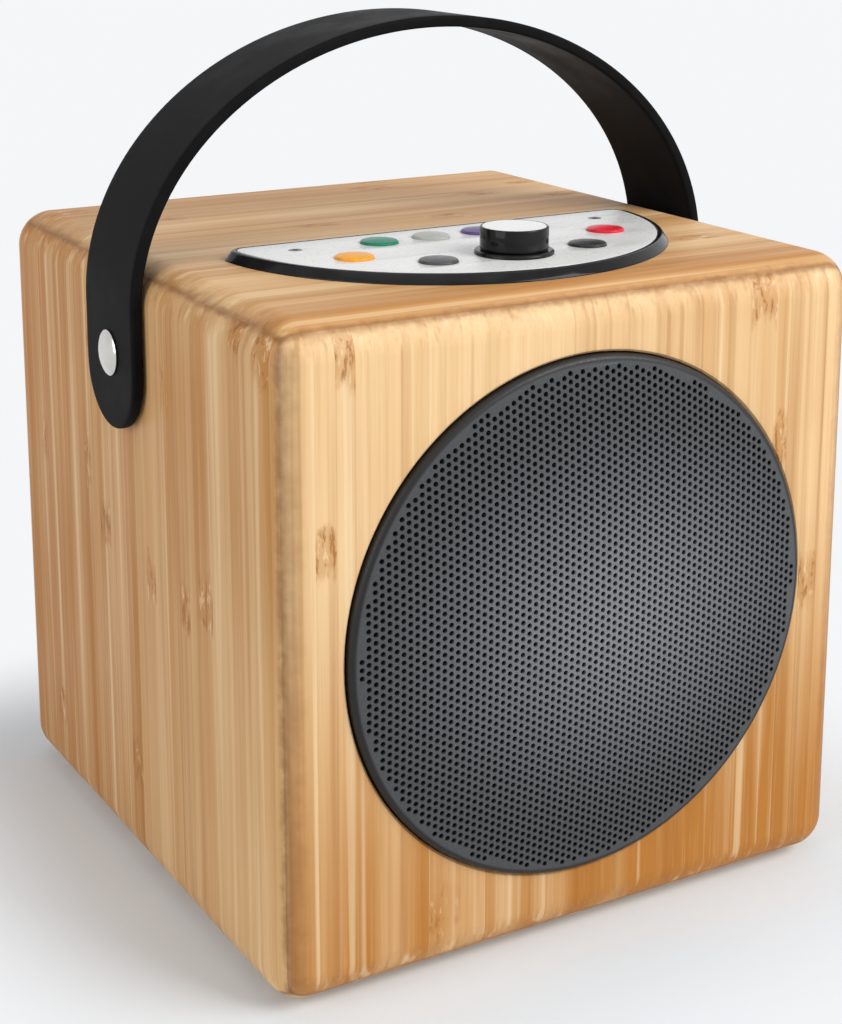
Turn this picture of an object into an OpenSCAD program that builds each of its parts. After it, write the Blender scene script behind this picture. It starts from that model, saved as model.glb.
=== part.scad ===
// Bamboo box loudspeaker for a child: one front driver behind a domed grille, a half-round button
// panel with a volume knob on top, and a strap handle that swings on two side bolts.
// Millimetres. X to the right, Y to the back, Z up. The origin is on the table, under the middle of the
// whole part. Every module is drawn with the origin under the box's middle, and moved back at the end.

/* [Cabinet] */
// Width of the box, side to side
body_w = 170; // [164:1:190]
// Depth of the box, front to back
body_d = 176; // [170:1:200]
// Height of the box without its feet
body_h = 168.5; // [162:0.5:190]
// Thickness of the six bamboo panels
panel_t = 15; // [14:0.5:17]
// Radius of the box's outer edges
edge_r = 10; // [5:0.5:12]

/* [Feet] */
// Height that the rubber feet lift the box
foot_rise = 1.5; // [1:0.1:3]
// Diameter of a foot
foot_d = 14; // [12:0.5:18]
// Distance of a foot's centre from the box's outer faces
foot_inset = 20; // [16:1:26]

/* [Front opening] */
// Diameter of the opening that the grille sits in
grille_d = 134.5; // [132:0.5:138]
// Height of the opening's centre above the middle of the front
grille_up = 0.75; // [0:0.25:2]
// Width of the chamfer around the opening
opening_edge = 0.6; // [0.3:0.1:1]
// Depth of the step that the grille sits on
rebate_depth = 6.5; // [6:0.1:7.5]
// Diameter of the hole behind the grille, in front of the cone
sound_d = 109; // [104:0.5:114]

/* [Grille] */
// Thickness of the perforated sheet
grille_t = 0.8; // [0.6:0.1:1.2]
// Radius of the grille's rounded shoulder
grille_edge_r = 1.6; // [1.2:0.1:2.5]
// Height of the shoulder above the front face
grille_proud = 1.8; // [0:0.1:2.5]
// Height of the dome above its shoulder
grille_rise = 3; // [1.5:0.1:4]
// Gap between the grille's turned-back edge and the wood
grille_gap = 0.35; // [0.2:0.05:0.6]
// Thickness of the cloth behind the grille
cloth_t = 0.5; // [0.3:0.1:0.8]

/* [Driver] */
// Width of the driver's flange around the hole behind the grille
flange_w = 5.4; // [5:0.1:6]
// Number of driver screws
driver_screw_n = 4; // [4:1:8]
// Diameter of the magnet
magnet_d = 76; // [66:1:90]
// Thickness of the magnet
magnet_t = 12; // [10:0.5:18]
// Diameter of the voice coil's tube, outside
coil_d = 26; // [24:0.5:28]
// Width of the ring between the stiff cone and the hole, which the rubber edge fills
edge_w = 9.8; // [9:0.1:11]
// Depth of the cone from its rim to its neck
cone_depth = 15; // [12:0.5:16]
// Travel of the cone each way
cone_travel = 2.5; // [1:0.1:3]

/* [Handle] */
// Width of the strap
strap_w = 32; // [26:1:36]
// Thickness of the strap
strap_t = 3; // [2.5:0.1:4]
// Depth of the handle bolts below the top of the box
bolt_drop = 24; // [22:0.5:30]
// Height of the strap's crown above the top of the box
strap_rise = 59.5; // [50:0.5:80]
// Depth below the top of the box where the strap starts to bend inwards
bend_drop = 12; // [8:0.5:14]
// Gap between the box's side and the strap
strap_gap = 0.8; // [0.7:0.1:2]
// Distance from a bolt down to the middle of the strap's round end
strap_tail = 4; // [0:0.5:6]
// Diameter of the bolts' domed heads
bolt_head_d = 12; // [10:0.5:14]
// Diameter of the bolts' shanks
bolt_d = 5; // [4:0.5:6]

/* [Button panel] */
// Radius of the half-round face plate
plate_r = 60; // [54:0.5:66]
// Thickness of the face plate
plate_t = 1.2; // [1:0.1:1.5]
// Width of the black rim around the face plate
rim_w = 3; // [2:0.1:3.4]
// Height of the face plate's top above the wood
plate_rise = 2.5; // [2:0.1:3]
// Radius of the panel's two corners
panel_corner_r = 3.5; // [2:0.1:5]
// Distance from the front of the box to the face plate's front edge
panel_margin = 14.5; // [13:0.1:16]
// Depth of the panel's tray below the top of the wood
tray_depth = 12; // [11.5:0.5:13]

/* [Buttons] */
// Diameter of a button
button_d = 10; // [8:0.2:10.4]
// Height that a button stands above the face plate, at its edge
button_proud = 0.7; // [0.6:0.1:1.2]
// Travel of a button
button_travel = 0.6; // [0.3:0.05:0.8]
// Distance from the panel's straight edge to the edges of the back row of buttons
row_gap = 6.1; // [5.5:0.1:8]
// Distance of the two inner back buttons from the centre line
inner_x = 7.5; // [6.8:0.1:8.5]
// Distance of the two outer back buttons from the centre line
outer_x = 23; // [21:0.1:25]
// Distance from the face plate's round edge to the centres of the other four buttons
ring_inset = 14; // [12:0.1:16]
// Angle of the two middle buttons below the panel's straight edge
middle_angle = 34; // [30:1:38]
// Angle of the two front buttons below the panel's straight edge
front_angle = 61; // [58:1:64]

/* [Knob] */
// Distance from the face plate's round edge to the centre of the knob
knob_inset = 20; // [18:0.5:22]
// Diameter of the volume knob
knob_d = 17.5; // [16:0.5:19]
// Height of the knob's top above the face plate
knob_rise = 7; // [6:0.1:9]
// Diameter of the fixed collar under the knob
collar_d = 20.4; // [20:0.1:22]
// Height of the collar
collar_h = 1; // [0.8:0.1:1.4]
// Diameter of the encoder's shaft
shaft_d = 6; // [5:0.5:6]

/* [Back] */
// Thickness of the removable back panel
back_t = 12; // [10:0.5:14]
// Depth that the back panel sits inside the box's back edge
back_set = 1.5; // [0.5:0.1:3]
// Gap between the back panel and the box around it
back_gap = 0.3; // [0.2:0.05:0.6]
// Width and depth of the wooden cleats behind the back panel
cleat = 12; // [10:0.5:14]
// Width of the connector plate
rear_w = 92; // [88:1:100]
// Height of the connector plate
rear_h = 34; // [32:1:38]
// Height of the connector plate's centre above the underside of the box
rear_up = 56; // [50:1:64]
// Travel of the power switch
switch_travel = 4; // [2:0.5:5]

/* [Inside] */
// Length of the main circuit board, side to side
main_w = 64; // [58:1:72]
// Depth of the main circuit board, front to back
main_d = 56; // [50:1:60]
// Diameter of a battery cell
cell_d = 18.4; // [18:0.1:18.6]
// Length of a battery cell
cell_l = 65; // [60:0.5:66]
// Thickness of the circuit boards
board_t = 1.6; // [1:0.2:2]

/* [Hidden] */

// Finishes
bamboo = "burlywood";
bamboo_side = "tan";
black = "#1c1c1e";
rubber = "#2a2a2c";
steel = "silver";
dark_steel = "#55585c";
board_green = "#2f6b45";

// Clearances, and the small part that a cut runs past a face
run_fit = 0.08;
screw_fit = 0.05;
slip = 0.2;
past = 1;

// Main levels and faces
base_z = foot_rise;
top_z = base_z + body_h;
front_y = -body_d / 2;
back_y = body_d / 2;
front_in_y = front_y + panel_t;
inner_w = body_w - 2 * panel_t;
inner_low_z = base_z + panel_t;
inner_top_z = top_z - panel_t;
grille_z = base_z + body_h / 2 + grille_up;
back_out_y = back_y - back_set;
back_in_y = back_out_y - back_t;
far = 3 * body_d;
seal_t = 0.8;
cleat_y = back_in_y - seal_t - cleat;

module pipe(outer, inner, height) {
    difference() {
        cylinder(r = outer, h = height, $fn = 96);
        translate([0, 0, -past]) cylinder(r = inner, h = height + 2 * past, $fn = 64);
    }
}

// A box given by its middle in X and Y and its underside in Z
module block(size) translate([-size[0] / 2, -size[1] / 2, 0]) cube(size);

// A rectangle with round corners, its middle at the origin
module round_rect(x, y, r) {
    square([x - 2 * r, y], center = true);
    square([x, y - 2 * r], center = true);
    for (sx = [-1, 1], sy = [-1, 1])
        translate([sx * (x / 2 - r), sy * (y / 2 - r)]) circle(r, $fn = 48);
}

// Both sides of the box: the children, and their mirror image
module both_sides() {
    children();
    mirror([1, 0, 0]) children();
}

// The four places at plus and minus x and y
module four_corners(x, y) for (sx = [-1, 1], sy = [-1, 1]) translate([sx * x, sy * y, 0]) children();

// CABINET. Six panels cut from one round-edged block, mitred where they meet.

// The box's outer shape. Each of its eight corners is trimmed to a ball where the three roundings meet.
module outer_block() {
    hair = 0.02;
    difference() {
        intersection() {
            translate([0, 0, base_z]) linear_extrude(body_h) round_rect(body_w, body_d, edge_r);
            translate([0, back_y, base_z + body_h / 2]) rotate([90, 0, 0])
                linear_extrude(body_d) round_rect(body_w, body_h, edge_r);
            translate([-body_w / 2, 0, base_z + body_h / 2]) rotate([90, 0, 90])
                linear_extrude(body_w) round_rect(body_d, body_h, edge_r);
        }
        for (sx = [0, 1], sy = [0, 1], sz = [0, 1])
            translate([0, 0, base_z + body_h / 2]) mirror([sx, 0, 0]) mirror([0, sy, 0]) mirror([0, 0, sz])
                translate([body_w / 2 - edge_r, body_d / 2 - edge_r, body_h / 2 - edge_r])
                    difference() {
                        cube(edge_r + past);
                        sphere(edge_r + hair, $fn = 96);
                    }
    }
}

// Cuts away what lies nearer to the front face than to the left face
module mitre_front_left()
    translate([-body_w / 2, front_y, -far / 2]) rotate([0, 0, 45])
        translate([-far / 2, -far, 0]) cube(far);

// Cuts away what lies nearer to the left face than to the front face
module mitre_left_front()
    translate([-body_w / 2, front_y, -far / 2]) rotate([0, 0, 45]) translate([-far / 2, 0, 0]) cube(far);

// Cuts away what lies nearer to the top face than to the left face
module mitre_top_left()
    translate([-body_w / 2, -far / 2, top_z]) rotate([0, 45, 0]) translate([-far / 2, 0, 0]) cube(far);

// Cuts away what lies nearer to the left face than to the top face
module mitre_left_top()
    translate([-body_w / 2, -far / 2, top_z]) rotate([0, 45, 0])
        translate([-far / 2, 0, -far]) cube(far);

// Cuts away what lies nearer to the front face than to the top face
module mitre_front_top()
    translate([-far / 2, front_y, top_z]) rotate([-45, 0, 0]) translate([0, -far / 2, -far]) cube(far);

// Cuts away what lies nearer to the top face than to the front face
module mitre_top_front()
    translate([-far / 2, front_y, top_z]) rotate([-45, 0, 0]) translate([0, -far / 2, 0]) cube(far);

// The children's mirror image in the level half way up the box
module upside_down() translate([0, 0, 2 * base_z + body_h]) mirror([0, 0, 1]) children();

// The children, and their mirror image in the level half way up the box
module above_and_below() {
    children();
    upside_down() children();
}

module front_panel() color(bamboo) {
    difference() {
        intersection() {
            outer_block();
            translate([-body_w / 2, front_y, base_z]) cube([body_w, panel_t, body_h]);
        }
        both_sides() mitre_left_front();
        above_and_below() mitre_top_front();
        on_driver_axis() {
            translate([0, 0, -panel_t - past]) cylinder(d = grille_d, h = rebate_depth + past, $fn = 180);
            translate([0, 0, -panel_t]) cylinder(
                r1 = grille_d / 2 + opening_edge, r2 = grille_d / 2 - past, h = opening_edge + past, $fn = 180
            );
            translate([0, 0, -panel_t]) cylinder(d = sound_d, h = panel_t + past, $fn = 180);
            driver_holes(driver_screw_r + screw_fit, -driver_screw_l - past / 2, past);
        }
    }
}

module side_blank() {
    difference() {
        intersection() {
            outer_block();
            translate([-body_w / 2, front_y, base_z]) cube([panel_t, body_d, body_h]);
        }
        mitre_front_left();
        above_and_below() mitre_top_left();
        translate([-body_w / 2 - past, 0, bolt_z]) rotate([0, 90, 0])
            cylinder(r = bolt_d / 2 + screw_fit, h = panel_t + 2 * past, $fn = 48);
    }
}

module left_panel() color(bamboo_side) side_blank();

module right_panel() color(bamboo_side) mirror([1, 0, 0]) side_blank();

module top_panel() color(bamboo) {
    difference() {
        intersection() {
            outer_block();
            translate([-body_w / 2, front_y, inner_top_z]) cube([body_w, body_d, panel_t]);
        }
        mitre_front_top();
        both_sides() mitre_left_top();
        translate([0, 0, inner_top_z - past])
            linear_extrude(panel_t + 2 * past) half_disc(slip - tray_inset);
    }
}

module bottom_panel() color(bamboo) {
    difference() {
        intersection() {
            outer_block();
            translate([-body_w / 2, front_y, base_z]) cube([body_w, body_d, panel_t]);
        }
        upside_down() {
            mitre_front_top();
            both_sides() mitre_left_top();
        }
        translate([0, 0, base_z]) four_corners(foot_x, foot_y) {
            translate([0, 0, -past]) cylinder(d = foot_d + 2 * screw_fit, h = foot_sunk + past, $fn = 64);
            cylinder(r = foot_screw_r + screw_fit, h = foot_screw_l, $fn = 32);
        }
        translate([main_x, main_y, inner_low_z - peg_l]) at_pegs()
            cylinder(r = peg_r + screw_fit, h = peg_l + past, $fn = 24);
    }
}

// BACK. An inset panel on a gasket, screwed to cleats that are glued round the inside.

back_w = inner_w - 2 * back_gap;
back_h = inner_top_z - inner_low_z - 2 * back_gap;
back_mid_z = (inner_low_z + inner_top_z) / 2;
back_screw_r = 1.75;
back_screw_head_r = 3.5;
back_screw_l = back_t + seal_t + cleat - 3;
screw_x = inner_w / 2 - cleat / 2;
screw_z = (inner_top_z - inner_low_z) / 2 - cleat / 2;
back_screw_places = [
    for (sx = [-1, 0, 1], sz = [-1, 0, 1]) if (sx != 0 || sz != 0) [sx * screw_x, sz * screw_z]
];

// Places the children on each back screw's axis, with Z pointing into the box
module at_back_screws()
    for (p = back_screw_places)
        translate([p[0], back_out_y, back_mid_z + p[1]]) rotate([90, 0, 0]) children();

module back_screw_body(grow) {
    head = back_screw_head_r + grow;
    shank = back_screw_r + grow;
    cylinder(r = shank, h = back_screw_l, $fn = 32);
    cylinder(r1 = head, r2 = shank, h = head - shank, $fn = 48);
}

module back_panel() color(bamboo_side) {
    difference() {
        translate([-back_w / 2, back_in_y, back_mid_z - back_h / 2]) cube([back_w, back_t, back_h]);
        at_back_screws() back_screw_body(screw_fit);
        on_rear_plate() {
            translate([0, 0, -past]) linear_extrude(rear_t + past)
                round_rect(rear_w + 2 * slip, rear_h + 2 * slip, rear_corner_r);
            translate([0, 0, -past])
                linear_extrude(back_t + 2 * past) round_rect(rear_cut_w, rear_cut_h, rear_corner_r);
            rear_screw_places() cylinder(r = rear_screw_r + screw_fit, h = rear_screw_l, $fn = 24);
        }
    }
}

// A rectangular frame that stands in the back opening, w wide and deep
module back_frame(w, depth) {
    h = inner_top_z - inner_low_z;
    difference() {
        cube([inner_w, depth, h]);
        translate([w, -past, w]) cube([inner_w - 2 * w, depth + 2 * past, h - 2 * w]);
    }
}

module back_seal() color(rubber) {
    difference() {
        translate([-inner_w / 2, back_in_y - seal_t, inner_low_z]) back_frame(cleat, seal_t);
        at_back_screws() back_screw_body(screw_fit);
    }
}

// Two long cleats run the full width, and two short ones stand between them
module back_cleats() color("peru") {
    difference() {
        union() {
            for (z = [inner_low_z, inner_top_z - cleat])
                translate([-inner_w / 2, cleat_y, z]) cube([inner_w, cleat, cleat]);
            both_sides() translate([-inner_w / 2, cleat_y, inner_low_z + cleat + slip])
                cube([cleat, cleat, inner_top_z - inner_low_z - 2 * cleat - 2 * slip]);
        }
        at_back_screws() back_screw_body(screw_fit);
    }
}

module back_screws() color(dark_steel) at_back_screws() {
    difference() {
        back_screw_body(0);
        translate([0, 0, -past]) cylinder(r = 1.4, h = past + 1.2, $fn = 6);
    }
}

// FEET. Rubber discs sunk into the bottom panel, each held by one screw.

foot_x = body_w / 2 - foot_inset;
foot_y = body_d / 2 - foot_inset;
foot_sunk = 1.7;
foot_screw_r = 1.5;
foot_screw_l = 9;
foot_screw_head_r = 3;
foot_screw_head_t = 1;
foot_seat_z = 0.6;
foot_seat_top_z = foot_seat_z + foot_screw_head_t;

module feet() color(rubber) four_corners(foot_x, foot_y) {
    difference() {
        cylinder(d = foot_d, h = foot_rise + foot_sunk, $fn = 64);
        translate([0, 0, -past]) cylinder(r = foot_screw_head_r + slip, h = past + foot_seat_top_z, $fn = 48);
        cylinder(r = foot_screw_r + screw_fit, h = foot_rise + foot_sunk + past, $fn = 32);
    }
}

module foot_screws() color(steel) four_corners(foot_x, foot_y) {
    difference() {
        translate([0, 0, foot_seat_z]) cylinder(r = foot_screw_head_r, h = foot_screw_head_t, $fn = 48);
        cylinder(r = 1, h = foot_seat_z + 0.6, $fn = 6);
    }
    translate([0, 0, foot_seat_top_z])
        cylinder(r = foot_screw_r, h = base_z + foot_screw_l - foot_seat_top_z - 0.5, $fn = 32);
}

// DRIVER. Everything here is turned about the driver's axis. Z points to the back of the box, and
// zero is the front panel's inner face.

module on_driver_axis() translate([0, front_in_y, grille_z]) rotate([-90, 0, 0]) children();

driver_r = sound_d / 2 + flange_w;
driver_screw_r = 1.5;
driver_screw_l = panel_t - rebate_depth - 2.5;
driver_screw_head_r = 2.4;
driver_screw_head_t = 1.8;
driver_screw_ring_r = driver_r - driver_screw_head_r - 0.3;
gasket_t = 1;
flange_t = 2;
flange_s = gasket_t + flange_t;
sound_r = sound_d / 2;
edge_lip_t = 0.8;
cone_r = sound_r - edge_w;
cone_lip_w = 3.3;
cone_t = 0.8;
roll_r = (edge_w - 2.2) / 2;
roll_mid_r = cone_r + roll_r - 0.5;
roll_t = 0.8;
edge_out_r = sound_r + 0.4;
basket_mouth_r = edge_out_r - 3;
basket_end_r = magnet_d / 2 + 1;
basket_t = 1.6;
basket_l = 25;
coil_r = coil_d / 2;
coil_wall = 0.8;
neck_s = gasket_t + cone_depth;
land_s = flange_s + basket_l;
air_gap = 0.4;
coil_wire_t = 0.3;
top_plate_t = 4;
back_plate_t = 4;
plate_hole_r = coil_r + coil_wire_t + air_gap;
pole_r = coil_r - coil_wall - air_gap - 0.2;
magnet_s = land_s + top_plate_t;
magnet_end_s = magnet_s + magnet_t;
spider_s = flange_s + 17;
spider_out_r = basket_wall_r(spider_s) - 6;
spider_t = 0.6;

// Inner radius of the basket's sloping wall at a depth s
function basket_wall_r(s) = basket_mouth_r + (basket_end_r - basket_mouth_r) * (s - flange_s) / basket_l;

// Depth of the cone's front surface at a radius r
function cone_front_s(r) =
    gasket_t + (cone_depth - 1) * (cone_r - cone_lip_w - r) / (cone_r - cone_lip_w - coil_r + coil_wall);

module driver_holes(r, low, high)
    for (i = [0 : driver_screw_n - 1]) rotate([0, 0, (i + 0.5) * 360 / driver_screw_n])
        translate([driver_screw_ring_r, 0, low]) cylinder(r = r, h = high - low, $fn = 32);

// Windows in the basket's wall
window_n = 6;
window_w = 24;
window_l = 11;

// Solder tags on the back of the flange
tag_w = 5;
tag_gap = 4;
tag_l = 8;
tag_strip_t = 1.6;
tag_r = basket_mouth_r + basket_t + 0.5;
tag_x = (tag_w + tag_gap) / 2;

module driver_gasket() color(rubber) on_driver_axis() {
    difference() {
        pipe(driver_r, edge_out_r + slip, gasket_t);
        driver_holes(driver_screw_r + screw_fit, -past, gasket_t + past);
    }
}

module driver_basket() color(dark_steel) on_driver_axis() {
    difference() {
        union() {
            rotate_extrude($fn = 120) polygon([
                [basket_mouth_r, gasket_t], [driver_r, gasket_t], [driver_r, flange_s],
                [basket_mouth_r + basket_t, flange_s], [basket_end_r + basket_t, land_s],
                [plate_hole_r + 0.3, land_s], [plate_hole_r + 0.3, land_s - basket_t],
                [basket_end_r, land_s - basket_t], [basket_mouth_r, flange_s]
            ]);
            rotate_extrude($fn = 120) polygon([
                [spider_out_r + 0.4, spider_s], [basket_wall_r(spider_s) + basket_t / 2, spider_s],
                [basket_wall_r(spider_s + basket_t) + basket_t / 2, spider_s + basket_t],
                [spider_out_r + 0.4, spider_s + basket_t]
            ]);
        }
        driver_holes(driver_screw_r + screw_fit, 0, flange_s + past);
        for (i = [0 : window_n - 1]) rotate([0, 0, i * 360 / window_n])
            translate([basket_end_r + 2, -window_w / 2, flange_s + 3]) cube([driver_r, window_w, window_l]);
    }
}

module driver_screws() color(steel) on_driver_axis() {
    difference() {
        driver_holes(driver_screw_head_r, flange_s, flange_s + driver_screw_head_t);
        driver_holes(1, flange_s + 1, flange_s + driver_screw_head_t + past);
    }
    driver_holes(driver_screw_r, -driver_screw_l, flange_s);
}

module driver_terminals() color("goldenrod") on_driver_axis() rotate([0, 0, 90]) {
    strip_l = 2 * tag_w + tag_gap + 2;
    translate([tag_r, -strip_l / 2, flange_s]) cube([driver_r - tag_r - 0.5, strip_l, tag_strip_t]);
    for (side = [-1, 1])
        translate([tag_r + 2, side * tag_x - tag_w / 2, flange_s + tag_strip_t]) cube([0.8, tag_w, tag_l]);
}

module surround() color(rubber) on_driver_axis() rotate_extrude($fn = 160) {
    lip_s = gasket_t - edge_lip_t;
    square_at(cone_r - cone_lip_w, lip_s, roll_mid_r - roll_r + roll_t, gasket_t);
    square_at(roll_mid_r + roll_r - roll_t, lip_s, edge_out_r, gasket_t);
    translate([roll_mid_r, gasket_t]) intersection() {
        difference() {
            circle(roll_r, $fn = 64);
            circle(roll_r - roll_t, $fn = 64);
        }
        translate([-roll_r, -roll_r]) square([2 * roll_r, roll_r]);
    }
}

module cone() color("#3a3a3c") on_driver_axis() rotate_extrude($fn = 160) polygon([
    [coil_r - coil_wall, neck_s], [coil_r - coil_wall, neck_s - 1], [cone_r - cone_lip_w, gasket_t],
    [cone_r, gasket_t], [cone_r, gasket_t + cone_t], [cone_r - cone_lip_w + 0.6, gasket_t + cone_t],
    [coil_r + 0.4, neck_s]
]);

cap_r = 19;
cap_rise = 6;
cap_ball_r = (cap_r * cap_r + cap_rise * cap_rise) / (2 * cap_rise);
module dust_cap() color("#2c2c2e") on_driver_axis() rotate_extrude($fn = 120) {
    rim_s = cone_front_s(cap_r);
    difference() {
        intersection() {
            translate([0, rim_s - cap_rise + cap_ball_r]) difference() {
                circle(cap_ball_r, $fn = 200);
                circle(cap_ball_r - cone_t, $fn = 200);
            }
            translate([0, rim_s - cap_rise - past]) square([cap_r + 2, cap_rise + 2]);
        }
        polygon([
            [coil_r, cone_front_s(coil_r)], [cap_r + 5, cone_front_s(cap_r + 5)], [cap_r + 5, neck_s],
            [coil_r, neck_s]
        ]);
    }
}

module voice_coil() color("#b87333") on_driver_axis() {
    wound_l = top_plate_t + cone_travel - 0.5;
    wound_s = land_s + (top_plate_t - wound_l) / 2;
    translate([0, 0, neck_s]) pipe(coil_r, coil_r - coil_wall, wound_s + wound_l - neck_s);
    translate([0, 0, wound_s]) pipe(coil_r + coil_wire_t, coil_r - coil_wall / 2, wound_l);
}

// Corrugated disc that centres the coil
module spider() color("#c8a24a") on_driver_axis() {
    wave_n = 4;
    inner = coil_r + 0.1;
    outer = spider_out_r;
    rise = 1.2;
    steps = 8 * wave_n;
    mid = spider_s - spider_t / 2;
    line = [
        for (i = [0 : steps])
            [inner + (outer - inner) * i / steps, mid - rise * sin(i * 360 * wave_n / steps)]
    ];
    rotate_extrude($fn = 96) {
        polygon(concat(
            [for (p = line) [p[0], p[1] - spider_t / 2]],
            [for (i = [steps : -1 : 0]) [line[i][0], line[i][1] + spider_t / 2]]
        ));
        translate([outer - 0.2, spider_s - spider_t]) square([3, spider_t]);
    }
}

module magnet_top_plate() color(steel) on_driver_axis()
    translate([0, 0, land_s]) pipe(magnet_d / 2 - 5, plate_hole_r, top_plate_t);

module magnet() color("#26262a") on_driver_axis()
    translate([0, 0, magnet_s]) pipe(magnet_d / 2, coil_r + 4, magnet_t);

module magnet_back_plate() color(steel) on_driver_axis() {
    vent_r = 3;
    difference() {
        union() {
            translate([0, 0, magnet_end_s]) cylinder(r = magnet_d / 2 - 6, h = back_plate_t, $fn = 96);
            translate([0, 0, land_s]) cylinder(r = pole_r, h = magnet_end_s - land_s + past, $fn = 96);
        }
        translate([0, 0, land_s - past]) cylinder(r = vent_r, h = magnet_end_s, $fn = 48);
    }
}

// GRILLE. A shallow dome with its edge turned back onto the step, and cloth behind it.

grille_r = grille_d / 2 - grille_gap;
step_s = rebate_depth - panel_t;
edge_mid_r = grille_r - grille_edge_r;
edge_mid_s = grille_edge_r - grille_proud - panel_t;
dome_lean = 2 * atan(grille_rise / edge_mid_r);
dome_reach = edge_mid_r / sin(dome_lean);
dome_mid_s = edge_mid_s + dome_reach * cos(dome_lean);
dome_steps = 20;
lean_left = 0.3;
edge_steps = 8;

// Points of an arc about a point, with angles measured from the line that points out of the box
function turn(x, s, r, start, end, steps) = [
    for (i = [0 : steps]) let (a = start + (end - start) * i / steps) [x + r * sin(a), s - r * cos(a)]
];

// The grille's line from the dome's top to its turned-back edge, moved inwards by a depth
function grille_line(depth) = concat(
    turn(0, dome_mid_s, dome_reach + grille_edge_r - depth, 0, dome_lean - lean_left, dome_steps),
    turn(edge_mid_r, edge_mid_s, grille_edge_r - depth, dome_lean, 90, edge_steps)
);

module grille() color("#6e7276") on_driver_axis() rotate_extrude($fn = 180) {
    inner = grille_line(grille_t);
    polygon(concat(
        grille_line(0),
        [[grille_r, step_s], [grille_r - grille_t, step_s]],
        [for (i = [len(inner) - 1 : -1 : 0]) inner[i]]
    ));
}

module grille_cloth() color("#101012") on_driver_axis()
    translate([0, 0, step_s - cloth_t]) cylinder(r = grille_r - grille_t - slip, h = cloth_t, $fn = 120);

// HANDLE. A flat strap that stands as an arch and turns about two bolts in the box's sides.

bolt_z = top_z - bolt_drop;
bend_z = top_z - bend_drop;
strap_in_x = body_w / 2 + strap_gap;
strap_out_x = strap_in_x + strap_t;
spacer_t = strap_gap - slip;
bolt_head_t = 2;
bolt_head_gap = 0.1;
nut_flange_r = 7;
nut_flange_t = 1.2;
nut_r = 4.6;
nut_t = 4;
bolt_end_s = -panel_t - nut_flange_t - nut_t;

// The strap's outline from the front: straight legs, then half an ellipse above the bend
module arch(x, crown_z) {
    steps = 60;
    rise = crown_z - bend_z;
    polygon(concat(
        [[x, bolt_z - strap_tail - strap_w]],
        [for (i = [0 : steps]) [x * cos(180 * i / steps), bend_z + rise * sin(180 * i / steps)]],
        [[-x, bolt_z - strap_tail - strap_w]]
    ));
}

module handle_strap() color(black) {
    crown = top_z + strap_rise;
    difference() {
        intersection() {
            translate([0, strap_w / 2, 0]) rotate([90, 0, 0]) linear_extrude(strap_w) difference() {
                arch(strap_out_x, crown);
                translate([0, -past]) arch(strap_in_x, crown - strap_t + past);
            }
            translate([-strap_out_x - past, 0, bolt_z]) rotate([90, 0, 90])
                linear_extrude(2 * (strap_out_x + past)) {
                    translate([0, -strap_tail]) circle(d = strap_w, $fn = 96);
                    translate([-strap_w / 2, -strap_tail]) square([strap_w, 2 * strap_rise]);
                }
        }
        translate([-strap_out_x - past, 0, bolt_z]) rotate([0, 90, 0])
            cylinder(r = bolt_d / 2 + run_fit, h = 2 * (strap_out_x + past), $fn = 48);
    }
}

// Places the children on the right bolt's axis, with Z pointing out of the box and zero on its side
module on_bolt() translate([body_w / 2, 0, bolt_z]) rotate([0, 90, 0]) children();

module handle_bolts() color(steel) both_sides() on_bolt() {
    head_s = strap_gap + strap_t + bolt_head_gap;
    head_r = bolt_head_d / 2;
    ball_r = (head_r * head_r + bolt_head_t * bolt_head_t) / (2 * bolt_head_t);
    translate([0, 0, head_s]) rotate_extrude($fn = 96) intersection() {
        translate([0, bolt_head_t - ball_r]) circle(ball_r, $fn = 120);
        square([head_r, bolt_head_t]);
    }
    translate([0, 0, bolt_end_s]) cylinder(d = bolt_d, h = head_s - bolt_end_s, $fn = 48);
}

module handle_spacers() color(black) both_sides() on_bolt()
    pipe(nut_flange_r, bolt_d / 2 + screw_fit, spacer_t);

module handle_nuts() color(steel) both_sides() on_bolt() {
    difference() {
        union() {
            translate([0, 0, -panel_t - nut_flange_t]) cylinder(r = nut_flange_r, h = nut_flange_t, $fn = 64);
            translate([0, 0, bolt_end_s + 0.5]) cylinder(r = nut_r, h = nut_t - 0.4, $fn = 6);
        }
        translate([0, 0, bolt_end_s]) cylinder(r = bolt_d / 2 + screw_fit, h = 2 * nut_t, $fn = 48);
    }
}

// BUTTON PANEL. A tray sunk in the top panel holds the board, and the face plate closes it.

plate_top_z = top_z + plate_rise;
plate_low_z = plate_top_z - plate_t;
tray_inset = 3;
tray_wall = 1.8;
tray_floor_t = 1.5;
tray_low_z = top_z - tray_depth;
tray_floor_z = tray_low_z + tray_floor_t;
board_z = tray_floor_z + 3.5;
board_top_z = board_z + board_t;
panel_y = front_y + panel_margin + plate_r;
plate_screw_inset = 12.8;
plate_screw_angle = 11;
plate_screw_r = 1;
plate_screw_head_r = 1.8;
boss_r = 3;

// The face plate's half-round outline, grown by a distance all round, its two corners sharp
module half_disc(grow) translate([0, panel_y]) intersection() {
    r = plate_r + grow;
    circle(r, $fn = 180);
    translate([-r, -r]) square([2 * r, r + grow]);
}

// The same outline with rounded corners. Each rounding crosses the edges next to it by a hair.
module half_round(grow) {
    r = plate_r + grow;
    corner = panel_corner_r + grow;
    y = grow - corner;
    x = sqrt((r - corner) * (r - corner) - y * y);
    hair = 0.02;
    difference() {
        half_disc(grow);
        translate([0, panel_y]) both_sides() difference() {
            polygon([[x, y], [x, 2 * corner], [x + 3 * corner, 2 * corner], 1.3 * [x, y]]);
            translate([x, y]) circle(corner + hair, $fn = 64);
        }
    }
}

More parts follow.
